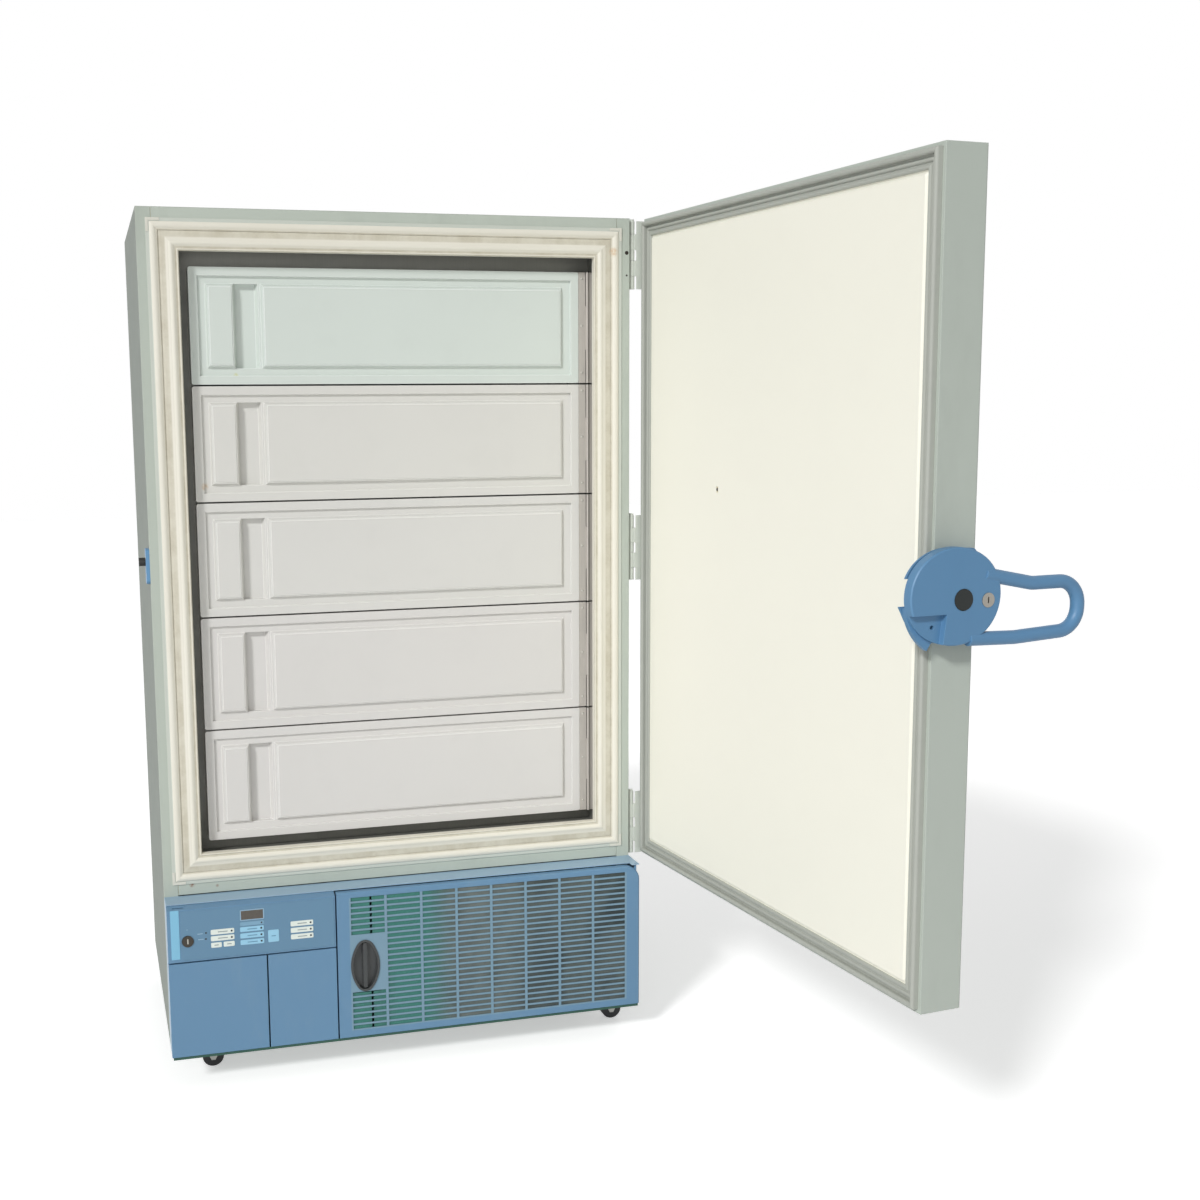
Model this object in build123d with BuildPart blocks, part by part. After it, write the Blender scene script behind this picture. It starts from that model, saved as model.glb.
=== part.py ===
from build123d import *

import math
import os

os.makedirs("parts", exist_ok=True)

# Ultra low temperature upright freezer, lengths in millimetres.
# Everything is drawn in the cabinet's own terms: x to the right from its middle, y to the rear
# from its front plane, z up from the floor. The planes below carry that to the model's origin.

# Cabinet
cabinet_width = 1130
cabinet_depth = 740
cabinet_height = 1980
base_bottom = 82
upper_bottom = 440
sheet = 1.5
stile_width = 32
seam = 0.8
top_rail_height = 45
bottom_rail_height = 42
wall_slot_width = 8
wall_slot_height = 52
wall_slot_y = 140
wall_slot_drop = 408

# Breaker strip, the moulded frame round the opening
breaker_side_gap = 20
breaker_low_gap = 25
breaker_top_gap = 23
breaker_band = 69
breaker_flat = 2
breaker_bead = 5
breaker_hook = 14
breaker_hook_width = 11
corner_cover_size = 30
corner_cover_band = 6.5
corner_cover_thickness = 1

# Inner tank and the recess that the inner doors close
recess_depth = 80
tank_back_wall = 110
tank_sheet = 1.2
tank_lap = 14
tank_side_lap = 18

# Inner doors
inner_door_count = 5
inner_doors_top_gap = 99.2
inner_doors_low_gap = 87.8
inner_door_gap = 4
inner_door_left_gap = 31.2
inner_door_corner = 5
inner_flange_y = 38
inner_channel_drop = 6
inner_door_seal_gap = 0.5
inner_flange = 19
inner_channel = 17
inner_panel_rise = 8
inner_step_inset = 6
inner_step_rise = 1.4
inner_panel_draft = 30
finger_pad = 64
finger_recess = 47
finger_slope = 11
finger_depth = 14
inner_leaf_width = 18
inner_leaf_thickness = 1.5
inner_knuckle_radius = 3.2
inner_pin_radius = 1.6
inner_axis_inset = 15
inner_axis_y = 36
inner_knuckle_share = 0.3
inner_knuckle_gap = 0.5

# Shelves
shelf_sheet = 2
shelf_lip = 20
shelf_side_gap = 2
shelf_front_gap = 6
support_leg = 18
support_sheet = 2
support_end_gap = 30

# Outer door, drawn closed and swung about its hinge axis
door_gap = 14
door_thickness = 89
door_sheet = 1.2
door_return = 14
door_edge_radius = 5
liner_sheet = 2
plateau_inset = 45
plateau_rise = 5
plateau_radius = 6
plateau_draft = 40
plateau_wall = 7
sensor_slot_width = 8
sensor_slot_height = 14
sensor_hole_across = 369
sensor_hole_drop = 619
rest_angle = 96
gasket_inset = 8
gasket_width = 34
gasket_height = 13.3
gasket_fold = 5.5
gasket_web = 1.5

# Outer door hinges
hinge_offset = 10
hinge_setback = 15
barrel_radius = 7.5
hinge_pin_radius = 4
running_gap = 0.05
leaf_thickness = 3
leaf_length = 46
leaf_clear = 9
leaf_web_gap = 0.4
hinge_height = 157
knuckle_shares = (0, 0.19, 0.425, 0.575, 0.81, 1)
knuckle_gap = 0.5
hinge_low_gap = 1
hinge_top_gap = 5
hinge_middle_share = 0.4975
pin_head_radius = 6
pin_head_height = 4.5

# Door latch, on the free end of the door; n runs outwards from the door's inner face
base_rise = 9
base_front_n = 4
base_inset = 4
base_height = 160
base_corner = 12
jaw_thickness = 4
jaw_setback = 3
jaw_low_tip_n = -80
jaw_slant = 14
jaw_depth = 27
jaw_chin_n = -10
jaw_inner_n = -38
mouth_low = 1195
mouth_high = 1243
hook_gap = 0.5
hook_thickness = 10
disc_centre_n = 17
disc_centre_z = 1211
disc_radius_n = 95
disc_radius_z = 86
disc_thickness = 20
disc_edge = 2
disc_end_radius = 82
pivot_n = 32
pivot_z = 1205
spindle_radius = 9
hook_hub_radius = 26
finger_inner = 95
finger_outer = 107
finger_start = 186.5
web_start = 217
web_end = 236
pocket_depth = 12
pocket_top = 1181
pocket_right_n = -2
pocket_slant = 8
padlock_hole_radius = 4
padlock_hole_n = -24
padlock_hole_z = 1158
cap_radius = 19
cap_seat = 4
cap_thickness = 5
cap_gap = 0.3
lock_n = 84
lock_z = 1202
lock_radius = 13
lock_depth = 15
lock_rise = 1
key_slot_length = 11
key_slot_width = 2.4
key_slot_depth = 6
lever_tube_radius = 12.5
lever_start_n = 80
lever_start_z = 1247
lever_bend_n = 185
lever_top_z = 1226
lever_reach = 289
lever_bottom_z = 1138
lever_return_n = 150
lever_return_z = 1131
lever_end_n = 50
lever_end_z = 1134
lever_corner_radius = 42

# Strike on the left side of the cabinet
strike_thickness = 8
strike_depth = 52
strike_front_gap = 4
strike_height = 78
strike_top = 1238
strike_corner = 10
strike_pin_radius = 9.5
strike_pin_length = 14.5
strike_pin_y = 38
strike_pin_z = 1208

# Blue front of the machine compartment
fascia_y = -80
panel_depth = 19
panel_sheet = 2
panel_bottom = 83
panel_top_gap = 6
ledge_drop = 2
cheek_setback = 48
post_width = 16
slope_rise = 1.5
panel_gap = 3.5
control_panel_length = 381
control_panel_height = 126.5
control_slope_drop = 6
lower_left_length = 222
ledge_slot_inset = 25.5
ledge_slot_length = 26
ledge_slot_width = 4
overlay_inset = 29
overlay_low_margin = 3.5
overlay_top_margin = 7
overlay_corner = 10
overlay_thickness = 0.8
display_inset = 165
display_width = 50
display_drop = 12
display_height = 21
display_rise = 0.3
overlay_margin = 3
key_switch_inset = 44.6
key_switch_lift = 48.3
key_switch_radius = 13
key_switch_rise = 2.8
key_switch_length = 16

# Grille door
grille_corner_radius = 34
grille_edge = 3
grille_columns = 8
grille_rows = 24
grille_left_margin = 33
grille_right_margin = 37.8
grille_rib = 6.1
grille_slot_height = 9
grille_top_margin = 17.5
grille_low_margin = 23
oval_rows_above = 7
oval_rows_below = 7
oval_inset = 64
oval_lift = 172
oval_radius_x = 34
oval_radius_z = 62
oval_end_radius = 22
oval_rim = 2.5
oval_depth = 13
oval_wall = 2
oval_ridge = 5
grille_axis_inset = 8
grille_axis_depth = 10
grille_pin_radius = 3
grille_tab = 20

# Base and machine deck
pan_bottom = 76
pan_sheet = 3
pan_front_gap = 2
pan_side_gap = 3
compressor_radius = 92
compressor_height = 225
compressor_dome = 50
compressor_crown = 56
compressor_base = 26
compressor_foot = 12
compressor_foot_width = 28
compressor_plate = 4
compressor_site_shares = ((-0.044, 0.203), (-0.292, 0.446))
terminal_box_width = 60
terminal_box_height = 70
terminal_box_depth = 30
condenser_left_inset = 244
condenser_right_inset = 35
condenser_front = 14
condenser_depth = 50
condenser_core = 26
condenser_stand = 16
condenser_top_gap = 15
fin_pitch = 20
fin_thickness = 1.5
header_radius = 7
header_lap = 2.5
shroud_sheet = 2
shroud_ring = 28
fan_radius = 122
fan_tip_gap = 8
fan_hub_radius = 28
fan_hub_length = 24
fan_blades = 5
fan_blade_width = 54
fan_blade_camber = 7
fan_blade_thickness = 2
fan_pitch_angle = 28
fan_stand_off = 6
motor_radius = 42
motor_length = 60
motor_shaft_radius = 5
motor_gap = 4
arm_width = 14
arm_thickness = 4
motor_arms = 3

# Rear
rear_cover_gap = 0.5
louvre_columns = 3
louvre_rows = 7
louvre_width = 180
louvre_height = 8
louvre_shift = 90
louvre_pitch_x = 260
louvre_pitch_z = 32
inlet_inset = 95
inlet_z = 150
inlet_width = 50
inlet_height = 34
inlet_flange = 3
inlet_body = 32
inlet_wall = 5
inlet_recess = 18
inlet_pin = 4
inlet_pin_pitch = 7

# Casters
caster_side_inset = 65
caster_front_y = 55
caster_rear_inset = 60
caster_plate_length = 80
caster_plate_width = 64
caster_plate_thickness = 4
caster_bearing_radius = 20
caster_bearing_height = 9
kingpin_radius = 6
kingpin_nut_radius = 10
kingpin_nut_height = 3
fork_top = 6
fork_gap = 0.3
fork_leg = 3
fork_inside = 24
fork_boss = 9
wheel_radius = 25
wheel_side_gap = 0.5
wheel_trail = 35
axle_radius = 4

overrun = 10

half_width = cabinet_width / 2
breaker_width = cabinet_width - 2 * breaker_side_gap
breaker_bottom = upper_bottom + breaker_low_gap
breaker_top = cabinet_height - breaker_top_gap
panel_top = upper_bottom - panel_top_gap
ledge_height = upper_bottom - ledge_drop
control_panel_right = control_panel_length - half_width
control_panel_bottom = panel_top - control_panel_height
lower_split_x = lower_left_length - half_width
hinge_x = half_width + hinge_offset
hinge_y = hinge_setback
door_inner = -door_gap
door_outer = -(door_gap + door_thickness)
disc_back = base_rise + jaw_thickness + hook_gap + hook_thickness
disc_front = disc_back + disc_thickness


def swing(x, y):
    """Where a point of the closed outer door lies when the door stands at its rest angle."""
    turn = math.radians(rest_angle)
    dx = x - hinge_x
    dy = y - hinge_y
    swung_x = hinge_x + math.cos(turn) * dx - math.sin(turn) * dy
    swung_y = hinge_y + math.sin(turn) * dx + math.cos(turn) * dy
    return swung_x, swung_y


# The origin is under the middle of the whole object as it stands, outer door open
lever_centre_offset = disc_back + disc_thickness / 2
reach_right = swing(-half_width - lever_centre_offset, door_inner - lever_reach)[0] + lever_tube_radius
reach_left = -half_width - strike_thickness - strike_pin_length
reach_front = swing(-half_width - disc_front, door_inner - disc_centre_n + disc_radius_n)[1]
reach_rear = cabinet_depth + inlet_flange
home_x = -(reach_right + reach_left) / 2
home_y = -(reach_front + reach_rear) / 2


def front(y):
    """Front view at depth y: local x right, local y up, normal towards the viewer."""
    return Plane(origin=(home_x, home_y + y, 0), x_dir=(1, 0, 0), z_dir=(0, -1, 0))


def rear(y):
    """Rear view at depth y: local x left, local y up, normal to the rear."""
    return Plane(origin=(home_x, home_y + y, 0), x_dir=(-1, 0, 0), z_dir=(0, 1, 0))


def level(z):
    """Plan view at height z: local x right, local y to the rear, normal up."""
    return Plane(origin=(home_x, home_y, z), x_dir=(1, 0, 0), z_dir=(0, 0, 1))


def side(x):
    """View from the right at x: local x to the rear, local y up, normal to the right."""
    return Plane(origin=(home_x + x, home_y, 0), x_dir=(0, 1, 0), z_dir=(1, 0, 0))


def swung(plane):
    """The same plane, carried by the outer door from closed to its rest angle."""
    axis = (home_x + hinge_x, home_y + hinge_y, 0)
    turn = Location(axis, (0, 0, rest_angle)) * Location(axis).inverse()
    return Plane(turn * plane.location)


def door_end(offset):
    """Free end of the outer door: local x is n, local y up, normal out of the end."""
    origin = (home_x - half_width - offset, home_y + door_inner, 0)
    return swung(Plane(origin=origin, x_dir=(0, -1, 0), z_dir=(-1, 0, 0)))


def span(x_low, x_high, y_low, y_high, mode=Mode.ADD):
    """A rectangle between two pairs of limits, in the current sketch."""
    with Locations(((x_low + x_high) / 2, (y_low + y_high) / 2)):
        Rectangle(x_high - x_low, y_high - y_low, mode=mode)


def polar(radius, angle):
    """A point about the latch pivot, the angle counted from outwards to upwards."""
    turn = math.radians(angle)
    return pivot_n + radius * math.cos(turn), pivot_z + radius * math.sin(turn)


def oval(centre_x, centre_y, reach_x, reach_y, end_radius):
    """An oval of four tangent arcs, in the current line; end_radius is at its long ends."""
    upright = reach_y > reach_x
    longer = max(reach_x, reach_y)
    shorter = min(reach_x, reach_y)
    end_centre = longer - end_radius
    side_radius = (end_centre**2 + shorter**2 - end_radius**2) / (2 * (shorter - end_radius))
    side_centre = side_radius - shorter
    join_share = side_radius / (side_radius - end_radius)
    join_along = join_share * end_centre
    join_across = join_share * side_centre - side_centre

    def spot(along, across):
        if upright:
            return centre_x + across, centre_y + along
        return centre_x + along, centre_y + across

    right_join = spot(join_along, join_across)
    left_join = spot(-join_along, join_across)
    left_return = spot(-join_along, -join_across)
    right_return = spot(join_along, -join_across)
    ThreePointArc(right_return, spot(longer, 0), right_join)
    ThreePointArc(right_join, spot(0, shorter), left_join)
    ThreePointArc(left_join, spot(-longer, 0), left_return)
    ThreePointArc(left_return, spot(0, -shorter), right_return)


# Cabinet wrap: sides and top in one fold, with front stiles turned in
with BuildPart() as cabinet_wrap:
    with BuildSketch(front(0)):
        span(-half_width, half_width, base_bottom, cabinet_height)
        span(sheet - half_width, half_width - sheet, base_bottom, cabinet_height - sheet, Mode.SUBTRACT)
    extrude(amount=-cabinet_depth)
    with BuildSketch(front(0)):
        span(-half_width, stile_width - half_width, base_bottom, cabinet_height)
        span(half_width - stile_width, half_width, base_bottom, cabinet_height)
    extrude(amount=-sheet)
    with BuildSketch(side(-half_width)):
        with Locations((wall_slot_y, cabinet_height - wall_slot_drop)):
            SlotOverall(wall_slot_height, wall_slot_width, rotation=90)
    extrude(amount=sheet, mode=Mode.SUBTRACT)
cabinet_wrap.part.label = "cabinet_wrap"
export_step(cabinet_wrap.part, "parts/cabinet_wrap.step")

# Front rails between the stiles; the lower one turns back as the deck under the insulation
rail_half = half_width - stile_width - seam
deck_half = half_width - sheet
with BuildPart() as front_rails:
    with BuildSketch(front(0)):
        rail_top = cabinet_height - sheet
        span(-rail_half, rail_half, rail_top - top_rail_height, rail_top)
        span(-rail_half, rail_half, upper_bottom, upper_bottom + bottom_rail_height)
    extrude(amount=-sheet)
    with BuildSketch(level(upper_bottom)):
        span(-deck_half, deck_half, sheet, cabinet_depth - sheet)
    extrude(amount=sheet)
front_rails.part.label = "front_rails"
export_step(front_rails.part, "parts/front_rails.step")

with BuildPart() as rear_panel:
    with BuildSketch(front(cabinet_depth - sheet)):
        span(-deck_half, deck_half, upper_bottom, cabinet_height - sheet)
    extrude(amount=-sheet)
rear_panel.part.label = "rear_panel"
export_step(rear_panel.part, "parts/rear_panel.step")

# Inner tank: a deep box behind a flange, with the recess walls that run forward to the breaker
breaker_half = breaker_width / 2
opening_half = breaker_half - breaker_band
recess_half = opening_half + breaker_hook_width
recess_bottom = breaker_bottom + breaker_band - breaker_hook_width
recess_top = breaker_top - breaker_band + breaker_hook_width
inner_doors_top = breaker_top - inner_doors_top_gap
inner_doors_bottom = breaker_bottom + inner_doors_low_gap
inner_door_pitch = (inner_doors_top - inner_doors_bottom + inner_door_gap) / inner_door_count
inner_door_left = inner_door_left_gap - recess_half
tank_depth = cabinet_depth - recess_depth - tank_back_wall
tank_half = -inner_door_left - tank_side_lap
tank_bottom = inner_doors_bottom + tank_lap
tank_top = inner_doors_top - tank_lap
tank_back = recess_depth + tank_depth
with BuildPart() as cavity_liner:
    with BuildSketch(front(recess_depth)):
        span(
            -recess_half - tank_sheet,
            recess_half + tank_sheet,
            recess_bottom - tank_sheet,
            recess_top + tank_sheet,
        )
        span(-tank_half, tank_half, tank_bottom, tank_top, Mode.SUBTRACT)
    extrude(amount=-tank_sheet)
    with BuildSketch(front(recess_depth)):
        span(
            -tank_half - tank_sheet,
            tank_half + tank_sheet,
            tank_bottom - tank_sheet,
            tank_top + tank_sheet,
        )
        span(-tank_half, tank_half, tank_bottom, tank_top, Mode.SUBTRACT)
    extrude(amount=-tank_depth)
    with BuildSketch(front(tank_back)):
        span(
            -tank_half - tank_sheet,
            tank_half + tank_sheet,
            tank_bottom - tank_sheet,
            tank_top + tank_sheet,
        )
    extrude(amount=-tank_sheet)
    with BuildSketch(front(breaker_hook)):
        span(
            -recess_half - tank_sheet,
            recess_half + tank_sheet,
            recess_bottom - tank_sheet,
            recess_top + tank_sheet,
        )
        span(-recess_half, recess_half, recess_bottom, recess_top, Mode.SUBTRACT)
    extrude(amount=breaker_hook - recess_depth)
cavity_liner.part.label = "cavity_liner"
export_step(cavity_liner.part, "parts/cavity_liner.step")

# Foam core, cast between the wrap and the tank
with BuildPart() as insulation:
    with BuildSketch(front(sheet)):
        span(-deck_half, deck_half, upper_bottom + sheet, cabinet_height - sheet)
    extrude(amount=2 * sheet - cabinet_depth)
    with BuildSketch(front(sheet)):
        span(
            -recess_half - tank_sheet,
            recess_half + tank_sheet,
            recess_bottom - tank_sheet,
            recess_top + tank_sheet,
        )
    extrude(amount=sheet - recess_depth - tank_sheet, mode=Mode.SUBTRACT)
    with BuildSketch(front(recess_depth)):
        span(
            -tank_half - tank_sheet,
            tank_half + tank_sheet,
            tank_bottom - tank_sheet,
            tank_top + tank_sheet,
        )
    extrude(amount=-tank_depth - tank_sheet, mode=Mode.SUBTRACT)
insulation.part.label = "insulation"
export_step(insulation.part, "parts/insulation.step")

# Breaker strip: one profile carried round the opening, u inwards and v forwards
bead_start = 0.1 * breaker_band
bead_crest = 0.2 * breaker_band
bead_end = 0.32 * breaker_band
groove_start = 0.39 * breaker_band
groove_end = 0.43 * breaker_band
band_middle = 0.56 * breaker_band
band_end = 0.68 * breaker_band
second_crest = 0.77 * breaker_band
second_end = 0.86 * breaker_band
lip_start = 0.93 * breaker_band
lip_crest = 0.97 * breaker_band
with BuildPart() as breaker_strip:
    with BuildLine(front(0)) as breaker_path:
        Polyline(
            (0, breaker_bottom),
            (breaker_half, breaker_bottom),
            (breaker_half, breaker_top),
            (-breaker_half, breaker_top),
            (-breaker_half, breaker_bottom),
            close=True,
        )
    profile_plane = Plane(
        origin=(home_x, home_y, breaker_bottom), x_dir=(0, 0, 1), z_dir=(1, 0, 0)
    )
    behind_rail = breaker_half - half_width + stile_width
    with BuildSketch(profile_plane):
        with BuildLine():
            Line((0, 0), (0, breaker_flat))
            Line((0, breaker_flat), (bead_start, breaker_flat))
            ThreePointArc(
                (bead_start, breaker_flat), (bead_crest, breaker_bead), (bead_end, breaker_flat)
            )
            Line((bead_end, breaker_flat), (groove_start, 0))
            Line((groove_start, 0), (groove_end, 0))
            ThreePointArc(
                (groove_end, 0), (band_middle, breaker_flat / 2), (band_end, 1.5 * breaker_flat)
            )
            ThreePointArc(
                (band_end, 1.5 * breaker_flat),
                (second_crest, breaker_bead),
                (second_end, breaker_flat),
            )
            Line((second_end, breaker_flat), (lip_start, 0))
            ThreePointArc((lip_start, 0), (lip_crest, breaker_flat), (breaker_band, 0))
            Line((breaker_band, 0), (breaker_band, -breaker_hook))
            Line((breaker_band, -breaker_hook), (breaker_band - breaker_hook_width, -breaker_hook))
            Line(
                (breaker_band - breaker_hook_width, -breaker_hook),
                (breaker_band - breaker_hook_width, 0),
            )
            Line((breaker_band - breaker_hook_width, 0), (0, 0))
        make_face()
    sweep(path=breaker_path.wires()[0], transition=Transition.RIGHT)
breaker_strip.part.label = "breaker_strip"
export_step(breaker_strip.part, "parts/breaker_strip.step")

# Small square covers over the breaker's outer corners
with BuildPart() as corner_covers:
    with BuildSketch(front(-breaker_flat)):
        for across in (-1, 1):
            for corner_z, up in ((breaker_bottom, 1), (breaker_top, -1)):
                leg = corner_cover_size
                band = corner_cover_band
                corner_x = across * breaker_half
                with BuildLine():
                    Polyline(
                        (corner_x, corner_z),
                        (corner_x - across * leg, corner_z),
                        (corner_x - across * leg, corner_z + up * band),
                        (corner_x - across * band, corner_z + up * band),
                        (corner_x - across * band, corner_z + up * leg),
                        (corner_x, corner_z + up * leg),
                        close=True,
                    )
                make_face()
    extrude(amount=corner_cover_thickness)
corner_covers.part.label = "corner_covers"
export_step(corner_covers.part, "parts/corner_covers.step")

# Shelves at the joints between inner doors, on angle supports
shelf_heights = [inner_doors_top - number * inner_door_pitch for number in range(1, inner_door_count)]
shelf_front = recess_depth + shelf_front_gap
shelf_back = tank_back - shelf_front_gap
with BuildPart() as shelves:
    for shelf_z in shelf_heights:
        with BuildSketch(side(shelf_side_gap - tank_half)):
            with BuildLine():
                Polyline(
                    (shelf_front, shelf_z + shelf_sheet),
                    (shelf_back, shelf_z + shelf_sheet),
                    (shelf_back, shelf_z - shelf_lip),
                    (shelf_back - shelf_sheet, shelf_z - shelf_lip),
                    (shelf_back - shelf_sheet, shelf_z),
                    (shelf_front + shelf_sheet, shelf_z),
                    (shelf_front + shelf_sheet, shelf_z - shelf_lip),
                    (shelf_front, shelf_z - shelf_lip),
                    close=True,
                )
            make_face()
        extrude(amount=2 * (tank_half - shelf_side_gap))
shelves.part.label = "shelves"
export_step(shelves.part, "parts/shelves.step")

with BuildPart() as shelf_supports:
    for shelf_z in shelf_heights:
        with BuildSketch(front(shelf_front + support_end_gap)):
            for across in (-1, 1):
                wall = across * tank_half
                leg = across * support_leg
                skin = across * support_sheet
                with BuildLine():
                    Polyline(
                        (wall, shelf_z),
                        (wall - leg, shelf_z),
                        (wall - leg, shelf_z - support_sheet),
                        (wall - skin, shelf_z - support_sheet),
                        (wall - skin, shelf_z - support_leg),
                        (wall, shelf_z - support_leg),
                        close=True,
                    )
                make_face()
        extrude(amount=shelf_front - shelf_back + 2 * support_end_gap)
shelf_supports.part.label = "shelf_supports"
export_step(shelf_supports.part, "parts/shelf_supports.step")

# Inner doors: a moulded skin with a flange, a channel, a finger recess and raised panels
inner_axis_x = recess_half - inner_axis_inset
inner_door_right = inner_axis_x - inner_knuckle_radius - inner_leaf_width - inner_knuckle_gap
inner_door_plastic = inner_door_right - inner_door_left
inner_door_back = recess_depth - inner_door_seal_gap
channel_y = inner_flange_y + inner_channel_drop
leaf_back_y = inner_axis_y + inner_knuckle_radius
leaf_seat_y = leaf_back_y + inner_leaf_thickness
leaf_right = inner_axis_x
pad_left = inner_door_left + inner_flange + inner_channel
pad_right = pad_left + finger_pad
recess_right = pad_right + finger_recess
main_left = recess_right + finger_slope
main_right = inner_door_right - inner_flange - 1.2 * inner_channel
leaf_left = inner_door_right + inner_knuckle_gap
seat_right = inner_axis_x - inner_knuckle_radius - inner_knuckle_gap
inner_leaf_height = inner_door_pitch - inner_door_gap
end_knuckle = inner_knuckle_share * inner_leaf_height
for number in range(1, inner_door_count + 1):
    door_top = inner_doors_top - (number - 1) * inner_door_pitch
    door_bottom = door_top - inner_door_pitch + inner_door_gap
    panel_low = door_bottom + inner_flange + inner_channel
    panel_high = door_top - inner_flange - inner_channel
    with BuildPart() as inner_door:
        with BuildSketch(front(channel_y)):
            with Locations(((inner_door_left + inner_door_right) / 2, (door_top + door_bottom) / 2)):
                RectangleRounded(inner_door_plastic, door_top - door_bottom, inner_door_corner)
        extrude(amount=channel_y - inner_door_back)
        with BuildSketch(front(channel_y)):
            with Locations(((inner_door_left + inner_door_right) / 2, (door_top + door_bottom) / 2)):
                RectangleRounded(inner_door_plastic, door_top - door_bottom, inner_door_corner)
            span(
                inner_door_left + inner_flange,
                inner_door_right - inner_flange,
                door_bottom + inner_flange,
                door_top - inner_flange,
                Mode.SUBTRACT,
            )
        extrude(amount=inner_channel_drop)
        for raised_left, raised_right in ((pad_left, pad_right), (main_left, main_right)):
            with BuildSketch(front(channel_y)):
                span(raised_left, raised_right, panel_low, panel_high)
            extrude(amount=inner_panel_rise, taper=inner_panel_draft)
            with BuildSketch(front(channel_y - inner_panel_rise)):
                span(
                    raised_left + inner_step_inset + inner_step_rise,
                    raised_right - inner_step_inset - inner_step_rise,
                    panel_low + inner_step_inset + inner_step_rise,
                    panel_high - inner_step_inset - inner_step_rise,
                )
            extrude(amount=inner_step_rise)
        with BuildSketch(level(panel_low)):
            with BuildLine():
                Polyline(
                    (pad_right, channel_y - overrun),
                    (pad_right, channel_y + finger_depth),
                    (recess_right, channel_y + finger_depth),
                    (main_left, channel_y - overrun),
                    close=True,
                )
            make_face()
        extrude(amount=panel_high - panel_low, mode=Mode.SUBTRACT)
        with BuildSketch(front(leaf_seat_y)):
            span(inner_door_right - overrun, seat_right, door_bottom, door_top)
        extrude(amount=leaf_seat_y - inner_door_back)
    inner_door.part.label = f"inner_door_{number}"
    export_step(inner_door.part, f"parts/inner_door_{number}.step")

    # Door side of the hinge, with its middle knuckle
    with BuildPart() as inner_door_leaf:
        middle_low = door_bottom + end_knuckle + inner_knuckle_gap
        middle_high = door_top - end_knuckle - inner_knuckle_gap
        with BuildSketch(front(leaf_seat_y)):
            span(leaf_left, seat_right, door_bottom, door_top)
            span(seat_right, leaf_right, middle_low, middle_high)
        extrude(amount=inner_leaf_thickness)
        with BuildSketch(level(middle_low)):
            with Locations((inner_axis_x, inner_axis_y)):
                Circle(inner_knuckle_radius)
            span(inner_axis_x - inner_knuckle_radius, inner_axis_x, inner_axis_y, leaf_seat_y)
            with Locations((inner_axis_x, inner_axis_y)):
                Circle(inner_pin_radius + running_gap, mode=Mode.SUBTRACT)
        extrude(amount=middle_high - middle_low)
    inner_door_leaf.part.label = f"inner_door_leaf_{number}"
    export_step(inner_door_leaf.part, f"parts/inner_door_leaf_{number}.step")

# Frame side of the inner hinges: the end knuckles with the pin staked in them, and a leaf bent
# back along the recess wall
with BuildPart() as inner_frame_leaves:
    for number in range(1, inner_door_count + 1):
        door_bottom = inner_doors_top - number * inner_door_pitch + inner_door_gap
        wall_leaf_x = recess_half - inner_leaf_thickness
        clear_x = inner_axis_x + inner_knuckle_radius + inner_knuckle_gap
        with BuildSketch(level(door_bottom)):
            span(wall_leaf_x, recess_half, leaf_back_y, leaf_back_y + inner_leaf_width)
            span(clear_x, recess_half, leaf_back_y - inner_leaf_thickness, leaf_back_y)
        extrude(amount=inner_leaf_height)
        for knuckle_low in (door_bottom, door_bottom + inner_leaf_height - end_knuckle):
            with BuildSketch(level(knuckle_low)):
                with Locations((inner_axis_x, inner_axis_y)):
                    Circle(inner_knuckle_radius)
                span(inner_axis_x, clear_x, leaf_back_y - inner_leaf_thickness, leaf_back_y)
            extrude(amount=end_knuckle)
        with BuildSketch(level(door_bottom + end_knuckle)):
            with Locations((inner_axis_x, inner_axis_y)):
                Circle(inner_pin_radius)
        extrude(amount=inner_leaf_height - 2 * end_knuckle)
inner_frame_leaves.part.label = "inner_frame_leaves"
export_step(inner_frame_leaves.part, "parts/inner_frame_leaves.step")

# Outer door skin: a folded pan with a return round its inner face
with BuildPart() as door_skin:
    with BuildSketch(swung(level(upper_bottom))) as door_plan:
        span(-half_width, half_width, door_outer, door_inner)
        fillet(door_plan.vertices().group_by(Axis.Y)[0], door_edge_radius)
    extrude(amount=cabinet_height - upper_bottom)
    with BuildSketch(swung(level(upper_bottom + door_sheet))) as core_plan:
        span(
            door_sheet - half_width,
            half_width - door_sheet,
            door_outer + door_sheet,
            door_inner - door_sheet,
        )
        fillet(core_plan.vertices().group_by(Axis.Y)[0], door_edge_radius - door_sheet)
    extrude(amount=cabinet_height - upper_bottom - 2 * door_sheet, mode=Mode.SUBTRACT)
    with BuildSketch(swung(front(door_inner))):
        span(
            door_return - half_width,
            half_width - door_return,
            upper_bottom + door_return,
            cabinet_height - door_return,
        )
    extrude(amount=door_sheet, mode=Mode.SUBTRACT)
door_skin.part.label = "door_skin"
export_step(door_skin.part, "parts/door_skin.step")

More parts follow.
